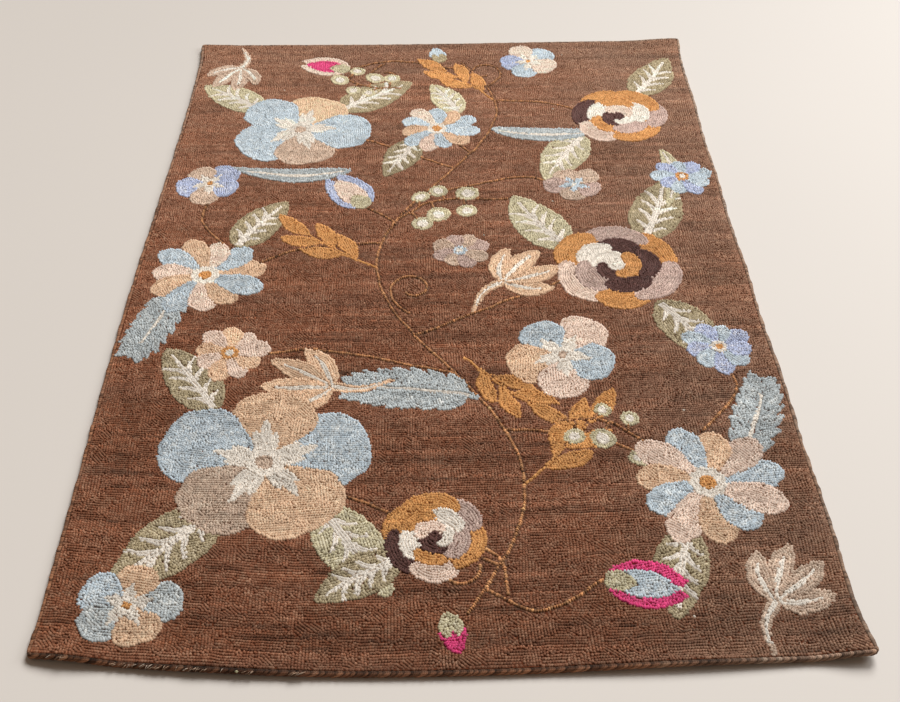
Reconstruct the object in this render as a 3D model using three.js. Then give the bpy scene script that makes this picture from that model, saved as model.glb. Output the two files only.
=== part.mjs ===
// A hand-tufted rug that lies on the floor: one tufted cloth with its looped pile, and the whipped
// yarn edge round it, in four lengths that meet in the middle of each corner.
//
// Millimetres, +Z up. The long sides run along Y and the front is the -Y end. Every piece is first
// laid out on a plain rectangle with round corners, and lieAsMade() then bends that plane to the
// uneven outline of the real rug and raises the few places where it doesn't lie flat.

import * as THREE from 'three';

// ---- driving dimensions ---------------------------------------------------------------------

const WIDTH = 1220;         // from side to side, over the whipped edges
const LENGTH = 1800;        // of the long sides, before the front end swells
const CORNER_RADIUS = 12;   // of the whipped edge's outer face
const PILE_TOP = 11;        // from the floor to the tops of the loops
const WHIP_WIDTH = 7;       // of the whipped edge, seen from above
const WHIP_HEIGHT = 9;      // of the whipped edge, so that the pile stands 2 mm above it
const WHIP_ROUNDING = 2.6;  // of the whipped edge's section
const GAP = 0.3;            // between two pieces that touch

const FRONT_SWELL = 27;     // how far the middle of the front edge stands out past its ends
const FRONT_SKEW = 9;       // how far the front edge's right end stands out past its middle

// Long waves of the four edges: each edge moves out by amplitude at the crest.
const EDGE_WAVES = [
  { edge: 'front', amplitude: 5, wavelength: 1220, crest: -275 },
  { edge: 'back', amplitude: 2.5, wavelength: 980, crest: -560 },
  { edge: 'left', amplitude: 4, wavelength: 1400, crest: -150 },
  { edge: 'right', amplitude: 4, wavelength: 2200, crest: -900 },
  { edge: 'right', amplitude: 1.5, wavelength: 310, crest: -650 },
];

// Where a long edge flares out as it nears a corner, over this reach.
const FLARES = [
  { edge: 'left', corner: -LENGTH / 2, out: 3, reach: 70 },
  { edge: 'left', corner: LENGTH / 2, out: 8, reach: 100 },
  { edge: 'right', corner: -LENGTH / 2, out: 8, reach: 80 },
  { edge: 'right', corner: LENGTH / 2, out: 5, reach: 90 },
];

// Places where the rug stands off the floor: a smooth rise of this height over this reach.
const LIFTS = [
  { place: 'front edge, left end', x: -550, y: -900, height: 6, reachX: 80, reachY: 120 },
  { place: 'front edge, left half', x: -330, y: -900, height: 2.5, reachX: 170, reachY: 90 },
  { place: 'front edge, right half', x: 330, y: -900, height: 4, reachX: 220, reachY: 110 },
  { place: 'front right corner', x: 610, y: -900, height: 10, reachX: 105, reachY: 120 },
  { place: 'back right corner', x: 610, y: 900, height: 7, reachX: 150, reachY: 150 },
  { place: 'back left corner', x: -610, y: 900, height: 3, reachX: 120, reachY: 120 },
];

// Faceting: steps along the straight part of an end and of a side, and round half a corner.
const STEPS = { end: 18, side: 24, halfCorner: 3 };

// ---- how the rug lies -------------------------------------------------------------------------

// How far an edge stands out from its straight line, at a place along it.
function edgeOffset(edge, place) {
  let offset = 0;
  for (const wave of EDGE_WAVES) {
    if (wave.edge === edge) {
      offset += wave.amplitude * Math.cos(2 * Math.PI * (place - wave.crest) / wave.wavelength);
    }
  }
  for (const flare of FLARES) {
    const nearness = 1 - Math.abs(place - flare.corner) / flare.reach;
    if (flare.edge === edge && nearness > 0) {
      offset += flare.out * nearness * nearness;
    }
  }
  if (edge === 'front') {
    const across = 2 * place / WIDTH;
    offset += FRONT_SWELL * (1 - across * across) + FRONT_SKEW * (1 + across);
  }
  return offset;
}

// How far the rug stands off the floor at a place of the plain rectangle.
function liftAt(x, y) {
  let height = 0;
  for (const lift of LIFTS) {
    const distance = ((x - lift.x) / lift.reachX) ** 2 + ((y - lift.y) / lift.reachY) ** 2;
    if (distance < 1) {
      height += lift.height * (1 - distance) ** 2;
    }
  }
  return height;
}

// Where a point of the plain rectangle, at a height over its underside, is on the real rug.
function lieAsMade(x, y, height) {
  const towardRight = 0.5 + x / WIDTH;
  const towardBack = 0.5 + y / LENGTH;
  return new THREE.Vector3(
    x + towardRight * edgeOffset('right', y) - (1 - towardRight) * edgeOffset('left', y),
    y + towardBack * edgeOffset('back', x) - (1 - towardBack) * edgeOffset('front', x),
    height + liftAt(x, y),
  );
}

// ---- geometry helpers ---------------------------------------------------------------------------

// Places along a straight run from -half to half, closer together towards its ends.
function stations(half, steps) {
  return Array.from({ length: steps + 1 }, (_, i) => {
    const place = 2 * i / steps - 1;
    return half * (place + Math.sin(place * Math.PI / 2)) / 2;
  });
}

// Moves every vertex of a geometry to where place() puts it.
function reshape(geometry, place) {
  const position = geometry.getAttribute('position');
  const vertex = new THREE.Vector3();
  for (let i = 0; i < position.count; i += 1) {
    vertex.fromBufferAttribute(position, i);
    const moved = place(vertex);
    position.setXYZ(i, moved.x, moved.y, moved.z);
  }
  geometry.computeVertexNormals();
  return geometry;
}

// A rectangle with rounded corners, standing on y = 0 with its outer face on x = 0.
function whipSection() {
  const shape = new THREE.Shape();
  const corners = [
    { x: -WHIP_ROUNDING, y: WHIP_ROUNDING, from: -90 },
    { x: -WHIP_ROUNDING, y: WHIP_HEIGHT - WHIP_ROUNDING, from: 0 },
    { x: -WHIP_WIDTH + WHIP_ROUNDING, y: WHIP_HEIGHT - WHIP_ROUNDING, from: 90 },
    { x: -WHIP_WIDTH + WHIP_ROUNDING, y: WHIP_ROUNDING, from: 180 },
  ];
  const points = [];
  for (const corner of corners) {
    for (const turn of [0, 45, 90]) {
      const angle = THREE.MathUtils.degToRad(corner.from + turn);
      points.push(new THREE.Vector2(
        corner.x + WHIP_ROUNDING * Math.cos(angle),
        corner.y + WHIP_ROUNDING * Math.sin(angle),
      ));
    }
  }
  shape.setFromPoints(points);
  return shape;
}

// ---- the tufted cloth ---------------------------------------------------------------------------

// A slab over a grid of stations. Its corners are drawn in to the middle of the corner arc.
function tuftedCloth() {
  const rowX = clothStations(WIDTH, STEPS.end);
  const rowY = clothStations(LENGTH, STEPS.side);
  const cellsX = rowX.length - 1;
  const cellsY = rowY.length - 1;
  const drawIn = (CORNER_RADIUS - WHIP_WIDTH - GAP) * (1 - Math.SQRT1_2);
  const slab = new THREE.BoxGeometry(cellsX, cellsY, PILE_TOP, cellsX, cellsY, 1);
  return reshape(slab, (vertex) => {
    const column = Math.round(vertex.x + cellsX / 2);
    const row = Math.round(vertex.y + cellsY / 2);
    const atCorner = (column % cellsX === 0) && (row % cellsY === 0);
    const inward = atCorner ? drawIn : 0;
    return lieAsMade(
      rowX[column] - Math.sign(rowX[column]) * inward,
      rowY[row] - Math.sign(rowY[row]) * inward,
      vertex.z + PILE_TOP / 2,
    );
  });
}

// The stations across the cloth: those of the straight run, and the cloth's own two edges.
function clothStations(size, steps) {
  const edge = size / 2 - WHIP_WIDTH - GAP;
  return [-edge, ...stations(size / 2 - CORNER_RADIUS, steps), edge];
}

// ---- the whipped edge ---------------------------------------------------------------------------

const SIDES = [
  { edge: 'front', outward: new THREE.Vector2(0, -1), run: WIDTH, reach: LENGTH, steps: STEPS.end },
  { edge: 'left', outward: new THREE.Vector2(-1, 0), run: LENGTH, reach: WIDTH, steps: STEPS.side },
  { edge: 'back', outward: new THREE.Vector2(0, 1), run: WIDTH, reach: LENGTH, steps: STEPS.end },
  { edge: 'right', outward: new THREE.Vector2(1, 0), run: LENGTH, reach: WIDTH, steps: STEPS.side },
];

// The stations of one length of whipping: half a corner, the straight run, and half a corner.
// turn is the angle from the side's outward direction, and trim the half gap at each end.
function whipStations(side) {
  const straight = stations(side.run / 2 - CORNER_RADIUS, side.steps);
  const eighth = Math.PI / 4;
  const places = straight.map((along) => ({ along, turn: 0, trim: 0 }));
  for (let i = 1; i <= STEPS.halfCorner; i += 1) {
    const turn = eighth * i / STEPS.halfCorner;
    const trim = i === STEPS.halfCorner ? GAP / 2 : 0;
    places.unshift({ along: straight[0], turn: -turn, trim });
    places.push({ along: straight[straight.length - 1], turn, trim: -trim });
  }
  return places;
}

// The section is swept clockwise round the rug, so that outward, up and onward are right-handed.
function whipping(side) {
  const places = whipStations(side);
  const last = places.length - 1;
  const onward = new THREE.Vector2(side.outward.y, -side.outward.x);
  const sweep = new THREE.ExtrudeGeometry(whipSection(), {
    steps: last,
    depth: last,
    bevelEnabled: false,
  });
  return reshape(sweep, (vertex) => {
    const { along, turn, trim } = places[Math.round(vertex.z)];
    const radius = CORNER_RADIUS + vertex.x;
    const on = along + radius * Math.sin(turn) + trim * Math.cos(turn);
    const out = side.reach / 2 - CORNER_RADIUS + radius * Math.cos(turn) - trim * Math.sin(turn);
    return lieAsMade(
      on * onward.x + out * side.outward.x,
      on * onward.y + out * side.outward.y,
      vertex.y,
    );
  });
}

// ---- the rug ------------------------------------------------------------------------------------

const pileWool = new THREE.MeshStandardMaterial({ color: 0x70503c, roughness: 0.95, metalness: 0 });
const whipWool = new THREE.MeshStandardMaterial({ color: 0x54403a, roughness: 0.95, metalness: 0 });

function piece(name, geometry, material) {
  const mesh = new THREE.Mesh(geometry, material);
  mesh.name = name;
  return mesh;
}

const group = new THREE.Group();
group.add(piece('tufted_cloth', tuftedCloth(), pileWool));
for (const side of SIDES) {
  group.add(piece(`whipping_${side.edge}`, whipping(side), whipWool));
}

// The origin is on the floor, under the middle of the rug's box.
const box = new THREE.Box3().setFromObject(group);
const middle = box.getCenter(new THREE.Vector3());
group.position.set(-middle.x, -middle.y, -box.min.z);

export default group;
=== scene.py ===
"""A hand-tufted wool rug, laid out as a Blender add-on.

The rug is a backing cloth, a pile of single yarn loops in a flower pattern, and a whipped edge.
All loops are laid out on a plain rectangle first. lie_as_made() then bends that rectangle to the
uneven outline of the real rug, and lifts it where the rug stands off the floor.
"""

import functools
import math
from typing import NamedTuple

import bpy
import numpy as np
from bpy.props import FloatProperty, FloatVectorProperty, IntProperty, PointerProperty
from bpy.types import Operator, Panel, PropertyGroup
from mathutils import Matrix, Vector


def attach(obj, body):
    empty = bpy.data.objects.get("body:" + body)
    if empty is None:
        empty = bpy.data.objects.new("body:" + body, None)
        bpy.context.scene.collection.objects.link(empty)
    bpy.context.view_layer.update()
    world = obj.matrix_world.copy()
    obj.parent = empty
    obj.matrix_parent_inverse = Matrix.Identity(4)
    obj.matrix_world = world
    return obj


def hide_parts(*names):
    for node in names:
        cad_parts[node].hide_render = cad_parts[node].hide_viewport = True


bl_info = {
    "name": "Hand-tufted Rug",
    "version": (1, 0, 0),
    "blender": (4, 5, 0),
    "location": "3D View > Sidebar > Rug",
    "description": "Makes a hand-tufted rug from a backing cloth, yarn loops and a whipped edge",
    "category": "Add Mesh",
}

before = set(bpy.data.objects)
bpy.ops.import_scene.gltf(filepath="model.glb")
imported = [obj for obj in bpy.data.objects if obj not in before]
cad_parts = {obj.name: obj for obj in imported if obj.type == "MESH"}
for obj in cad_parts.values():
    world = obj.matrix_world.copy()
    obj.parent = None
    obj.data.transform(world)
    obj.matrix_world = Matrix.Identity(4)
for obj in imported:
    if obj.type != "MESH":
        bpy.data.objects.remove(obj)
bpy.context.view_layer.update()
ROOT = "root"
TAU = 2 * math.pi


# ---- how the rug lies -----------------------------------------------------------------------
# The same named sizes as in the solid model, in metres.

WIDTH = 1.220
LENGTH = 1.800
CORNER_RADIUS = 0.012
WHIP_WIDTH = 0.007
WHIP_HEIGHT = 0.009
FRONT_SWELL = 0.027
FRONT_SKEW = 0.009

EDGE_WAVES = (
    {"edge": "front", "amplitude": 0.0050, "wavelength": 1.22, "crest": -0.275},
    {"edge": "back", "amplitude": 0.0025, "wavelength": 0.98, "crest": -0.560},
    {"edge": "left", "amplitude": 0.0040, "wavelength": 1.40, "crest": -0.150},
    {"edge": "right", "amplitude": 0.0040, "wavelength": 2.20, "crest": -0.900},
    {"edge": "right", "amplitude": 0.0015, "wavelength": 0.31, "crest": -0.650},
)

FLARES = (
    {"edge": "left", "corner": -LENGTH / 2, "out": 0.003, "reach": 0.070},
    {"edge": "left", "corner": LENGTH / 2, "out": 0.008, "reach": 0.100},
    {"edge": "right", "corner": -LENGTH / 2, "out": 0.008, "reach": 0.080},
    {"edge": "right", "corner": LENGTH / 2, "out": 0.005, "reach": 0.090},
)

LIFTS = (
    {"x": -0.550, "y": -0.900, "height": 0.0060, "reach_x": 0.080, "reach_y": 0.120},
    {"x": -0.330, "y": -0.900, "height": 0.0025, "reach_x": 0.170, "reach_y": 0.090},
    {"x": 0.330, "y": -0.900, "height": 0.0040, "reach_x": 0.220, "reach_y": 0.110},
    {"x": 0.610, "y": -0.900, "height": 0.0100, "reach_x": 0.105, "reach_y": 0.120},
    {"x": 0.610, "y": 0.900, "height": 0.0070, "reach_x": 0.150, "reach_y": 0.150},
    {"x": -0.610, "y": 0.900, "height": 0.0030, "reach_x": 0.120, "reach_y": 0.120},
)


def edge_offset(edge, place):
    """How far an edge stands out from its straight line, at places along it."""
    offset = np.zeros_like(place)
    for wave in EDGE_WAVES:
        if wave["edge"] == edge:
            turn = TAU * (place - wave["crest"]) / wave["wavelength"]
            offset += wave["amplitude"] * np.cos(turn)
    for flare in FLARES:
        if flare["edge"] == edge:
            nearness = np.clip(1 - np.abs(place - flare["corner"]) / flare["reach"], 0, 1)
            offset += flare["out"] * nearness**2
    if edge == "front":
        across = 2 * place / WIDTH
        offset += FRONT_SWELL * (1 - across**2) + FRONT_SKEW * (1 + across)
    return offset


def lift_at(x, y):
    """How far the rug stands off the floor at places of the plain rectangle."""
    height = np.zeros_like(x)
    for lift in LIFTS:
        distance = ((x - lift["x"]) / lift["reach_x"]) ** 2 + ((y - lift["y"]) / lift["reach_y"]) ** 2
        height += lift["height"] * np.clip(1 - distance, 0, 1) ** 2
    return height


def bend_plan(x, y):
    """Where places of the plain rectangle are in the plan of the real rug."""
    toward_right = 0.5 + x / WIDTH
    toward_back = 0.5 + y / LENGTH
    right = toward_right * edge_offset("right", y)
    left = (1 - toward_right) * edge_offset("left", y)
    back = toward_back * edge_offset("back", x)
    front = (1 - toward_back) * edge_offset("front", x)
    return x + right - left, y + back - front


OUTLINE_STEPS = 1201


def plan_middle():
    """The middle of the bent outline's box, which the frame puts over its origin."""
    run = np.linspace(-1, 1, OUTLINE_STEPS)
    along = run * (LENGTH / 2 - CORNER_RADIUS)
    across = run * (WIDTH / 2 - CORNER_RADIUS)
    side = np.full_like(run, WIDTH / 2)
    end = np.full_like(run, LENGTH / 2)
    left = bend_plan(-side, along)[0].min()
    right = bend_plan(side, along)[0].max()
    front = bend_plan(across, -end)[1].min()
    back = bend_plan(across, end)[1].max()
    return (left + right) / 2, (front + back) / 2


MIDDLE = plan_middle()


def lie_as_made(x, y, height):
    """Points of the plain rectangle, at heights over its underside, as points of the frame."""
    bent_x, bent_y = bend_plan(x, y)
    return np.stack([bent_x - MIDDLE[0], bent_y - MIDDLE[1], height + lift_at(x, y)], axis=-1)


# ---- sizes and colours that a user would change -------------------------------------------------


def length(name, description, default):
    """A size in metres."""
    return FloatProperty(name=name, description=description, default=default, min=0.0, unit="LENGTH")


def yarn(name, colour):
    """The colour of a yarn as the eye sees it, before light and shade."""
    return FloatVectorProperty(
        name=name,
        description=f"Colour of the {name.lower()} yarn",
        subtype="COLOR_GAMMA",
        size=3,
        min=0.0,
        max=1.0,
        default=colour,
    )


class RugSizes(PropertyGroup):
    """Sizes of the yarn, the pile and the whipped edge."""

    loop_step: length("Loop step", "From one loop to the next along a row", 0.00415)
    row_step: length("Row step", "From one row of loops to the next", 0.00475)
    loop_rise: length("Loop rise", "How far a loop stands out of the pile between rows", 0.0030)
    motif_rise: length("Motif rise", "How much higher the motifs' loops stand", 0.0007)
    outline_dip: length("Outline dip", "How much lower the ground's loops beside a motif lie", 0.0006)
    pile_waves: length("Pile waves", "Height of the long unevenness of the pile", 0.0005)
    wrap_step: length("Wrap step", "From one wrap of the whipped edge to the next", 0.0108)
    seed: IntProperty(name="Seed", description="Start of the random draws", default=7)


class RugYarns(PropertyGroup):
    """Colours of the dyed yarns."""

    brown: yarn("Brown", (0.495, 0.316, 0.229))
    stem: yarn("Stem", (0.76, 0.52, 0.34))
    sky: yarn("Sky blue", (0.684, 0.737, 0.774))
    periwinkle: yarn("Periwinkle", (0.63, 0.67, 0.78))
    tan: yarn("Tan", (0.820, 0.685, 0.565))
    taupe: yarn("Taupe", (0.755, 0.655, 0.575))
    olive: yarn("Olive", (0.63, 0.57, 0.445))
    sage: yarn("Sage", (0.74, 0.70, 0.57))
    cream: yarn("Cream", (0.820, 0.788, 0.742))
    ochre: yarn("Ochre", (0.785, 0.560, 0.330))
    aubergine: yarn("Aubergine", (0.33, 0.21, 0.19))
    slate: yarn("Slate", (0.66, 0.69, 0.70))
    mauve: yarn("Mauve", (0.70, 0.60, 0.56))
    blush: yarn("Blush", (0.85, 0.755, 0.69))
    magenta: yarn("Magenta", (0.83, 0.245, 0.47))
    backing: yarn("Backing", (0.74, 0.69, 0.60))


# How far each yarn is heathered: the range of its brightness, how far it turns to its fleck, and
# how bright its loops are painted at their feet, a painted shade for the gaps between loops. Plump
# yarns make wider loops.
YARN_COLUMNS = ("name", "spread", "fleck", "flecked", "depth", "plump")
YARNS = tuple(dict(zip(YARN_COLUMNS, row)) for row in (
    ("brown", 0.12, (0.77, 0.65, 0.55), 0.27, 0.46, 1.00),
    ("stem", 0.46, (0.97, 0.78, 0.56), 0.62, 0.18, 1.46),
    ("sky", 0.07, (0.93, 0.93, 0.91), 0.62, 0.80, 1.15),
    ("periwinkle", 0.10, (0.93, 0.92, 0.92), 0.62, 0.70, 1.15),
    ("tan", 0.08, (0.95, 0.87, 0.75), 0.48, 0.80, 1.15),
    ("taupe", 0.11, (0.89, 0.83, 0.75), 0.52, 0.65, 1.15),
    ("olive", 0.14, (0.89, 0.83, 0.71), 0.62, 0.58, 1.12),
    ("sage", 0.12, (0.93, 0.90, 0.81), 0.65, 0.62, 1.15),
    ("cream", 0.04, (0.90, 0.87, 0.83), 0.40, 1.00, 1.28),
    ("ochre", 0.10, (0.87, 0.68, 0.43), 0.38, 0.65, 1.15),
    ("aubergine", 0.18, (0.46, 0.32, 0.28), 0.40, 0.65, 1.15),
    ("slate", 0.14, (0.90, 0.90, 0.88), 0.65, 0.65, 1.15),
    ("mauve", 0.12, (0.88, 0.80, 0.74), 0.55, 0.65, 1.15),
    ("blush", 0.06, (0.96, 0.90, 0.83), 0.45, 0.80, 1.15),
    ("magenta", 0.12, (0.90, 0.42, 0.58), 0.40, 0.70, 1.15),
))
YARN_NUMBER = {row["name"]: i for i, row in enumerate(YARNS)}


# ---- outlines -------------------------------------------------------------------------------


def turned(points, angle, at):
    """Points turned by an angle and moved to a place."""
    c, s = math.cos(angle), math.sin(angle)
    x = points[:, 0] * c - points[:, 1] * s + at[0]
    y = points[:, 0] * s + points[:, 1] * c + at[1]
    return np.stack([x, y], axis=-1)


def toward(at, angle, distance):
    """The place at a distance from another, in a direction."""
    return (at[0] + distance * math.cos(angle), at[1] + distance * math.sin(angle))


def bladed(size, width, widest, roundness, bend=0.0, steps=36):
    """A petal or leaf from the origin along +X. Roundness 1 has sharp ends and 0.5 round ones."""
    t = np.linspace(0, 1, steps)
    power = math.log(0.5) / math.log(widest)
    half = width / 2 * np.sin(np.pi * t**power) ** roundness
    spine = bend * size * t**2
    slope = 2 * bend * t
    stretch = np.sqrt(1 + slope**2)
    upper = np.stack([size * t - half * slope / stretch, spine + half / stretch], axis=-1)
    lower = np.stack([size * t + half * slope / stretch, spine - half / stretch], axis=-1)
    return np.concatenate([lower, upper[-2:0:-1]])


def notched(size, width, notch=0.10, ruffle=0.022, ruffles=7, steps=60):
    """A petal from the origin along +X whose round far end has a notch and a ruffled edge."""
    turn = np.linspace(-0.62 * np.pi, 0.62 * np.pi, steps)
    dip = 1 - notch * np.exp(-((turn / 0.30) ** 2)) + ruffle * np.cos(ruffles * turn)
    x = size * (0.60 + 0.42 * np.cos(turn) * dip)
    y = width / 2 * np.sin(turn) * (1 + ruffle * np.sin(ruffles * turn))
    sides = np.array([(0.30 * size, 0.30 * width), (0.0, 0.03 * width)])
    return np.concatenate([np.stack([x, y], axis=-1), sides, sides[::-1] * (1, -1)])


def crescent(radius, width, spread, steps=30):
    """A petal bent round the origin: an arc of a ring that is wide in its middle."""
    turn = np.linspace(-spread / 2, spread / 2, steps)
    swell = width / 2 * np.cos(np.linspace(-1, 1, steps) * np.pi / 2) ** 0.45
    arc = np.stack([np.cos(turn), np.sin(turn)], axis=-1)
    outer, inner = (radius + swell)[:, None] * arc, (radius - swell)[:, None] * arc
    return np.concatenate([outer, inner[::-1]])


def scalloped(radius, lobes=0, depth=0.0, squash=1.0, steps=96):
    """A disc whose edge has round lobes."""
    angle = np.linspace(0, TAU, steps, endpoint=False)
    reach = radius * (1 + depth * (np.abs(np.sin(lobes * angle / 2)) * 2 - 1))
    return np.stack([reach * np.cos(angle), reach * squash * np.sin(angle)], axis=-1)


def curve(points, steps):
    """A smooth line through a few points."""
    p = np.array(points, float)
    ahead = np.concatenate([[2 * p[0] - p[1]], p, [2 * p[-1] - p[-2]]])
    t = np.linspace(0, 1, steps // (len(p) - 1), endpoint=False)[:, None]
    pieces = []
    for a, b, c, d in zip(ahead, ahead[1:], ahead[2:], ahead[3:]):
        first, second, third = c - a, 2 * a - 5 * b + 4 * c - d, 3 * b - a - 3 * c + d
        pieces.append(b + (first * t + second * t**2 + third * t**3) / 2)
    return np.concatenate([*pieces, p[-1:]])


def ribbon(line, widths):
    """The outline of a band that follows a line, with a width at its start and end or all along it."""
    widths = np.interp(np.linspace(0, 1, len(line)), np.linspace(0, 1, len(widths)), widths)
    ahead = np.gradient(line, axis=0)
    ahead /= np.linalg.norm(ahead, axis=1)[:, None]
    across = np.stack([-ahead[:, 1], ahead[:, 0]], axis=-1)
    half = widths[:, None] / 2
    return np.concatenate([line - across * half, (line + across * half)[::-1]])


def curled(at, angle, size, turns, tightness=0.7, steps=48):
    """A line that starts at a place, in a direction, and curls in on itself."""
    t = np.linspace(0, 1, steps)
    way = angle + TAU * turns * t ** (1 + tightness)
    step = size / steps
    x = at[0] + np.cumsum(np.cos(way)) * step
    y = at[1] + np.cumsum(np.sin(way)) * step
    return np.stack([x, y], axis=-1)


def evenly(line, step, closed):
    """Places along a line at about the same distance, and the line's direction there."""
    points = np.concatenate([line, line[:1]]) if closed else line
    gaps = np.linalg.norm(np.diff(points, axis=0), axis=1)
    run = np.concatenate([[0], np.cumsum(gaps)])
    count = max(2, round(run[-1] / step))
    places = np.linspace(0, run[-1], count, endpoint=not closed)
    at = np.stack([np.interp(places, run, points[:, k]) for k in (0, 1)], axis=-1)
    ahead = np.stack([np.interp(places + step / 4, run, points[:, k]) for k in (0, 1)], axis=-1)
    behind = np.stack([np.interp(places - step / 4, run, points[:, k]) for k in (0, 1)], axis=-1)
    way = ahead - behind
    return at, np.arctan2(way[:, 1], way[:, 0])


def inset(outline, distance):
    """An outline moved inwards by a distance, or outwards if it is negative."""
    after = np.roll(outline, -1, axis=0)
    before = np.roll(outline, 1, axis=0)
    area = np.sum(outline[:, 0] * after[:, 1] - outline[:, 1] * after[:, 0])
    way = after - before
    way /= np.maximum(np.linalg.norm(way, axis=1)[:, None], 1e-9)
    inward = np.stack([-way[:, 1], way[:, 0]], axis=-1) * np.sign(area)
    return outline + inward * distance


def ramp(value, start, run):
    """Rises from 0 at a start to 1 at the end of a run."""
    return np.clip((value - start) / run, 0, 1)


def noise(x, y, size_x, size_y, seed):
    """Smooth noise from -1 to 1 whose humps are about as large as the sizes given."""
    table = np.random.default_rng(seed).uniform(-1, 1, (256, 256))
    u, v = x / size_x + 100, y / size_y + 100
    i, j = np.floor(u).astype(int), np.floor(v).astype(int)
    s, t = u - i, v - j
    s, t = s * s * (3 - 2 * s), t * t * (3 - 2 * t)
    value = np.zeros_like(u)
    for a, share_x in ((0, 1 - s), (1, s)):
        for b, share_y in ((0, 1 - t), (1, t)):
            value += table[(i + a) % 256, (j + b) % 256] * share_x * share_y
    return value


def waves(x, y, rows):
    """The sum of a few noises, each with its strength, its size across and along the rug, and its seed."""
    return sum(strength * noise(x, y, across, along, seed) for strength, across, along, seed in rows)


# How a hand that follows a drawn line strays from it, to the right and toward the back.
ASTRAY_RIGHT = ((0.0022, 0.030, 0.030, 41), (0.0010, 0.011, 0.011, 42))
ASTRAY_BACK = ((0.0022, 0.030, 0.030, 43), (0.0010, 0.011, 0.011, 44))


def handmade(points):
    """Points moved a little, as a hand strays from a drawn line."""
    x, y = points.T
    return points + np.stack([waves(x, y, ASTRAY_RIGHT), waves(x, y, ASTRAY_BACK)], axis=-1)


def spine(size, bend, t):
    """Places along the bent middle line of a blade of a size, from the origin along +X."""
    return np.stack([size * t, bend * size * t**2], axis=-1)


# ---- the pattern ------------------------------------------------------------------------------


class Patch(NamedTuple):
    """A patch of one yarn. Its rows run in one direction, or follow its edge if it is contoured.

    The loops of a knobbly edge lie across it. A patch with a line is a single row of loops along it.
    """

    outline: np.ndarray
    yarn: str
    rows: float = 0.0
    family: str = "petals"
    contoured: bool = False
    knobbly: bool = True
    line: np.ndarray | None = None


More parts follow.
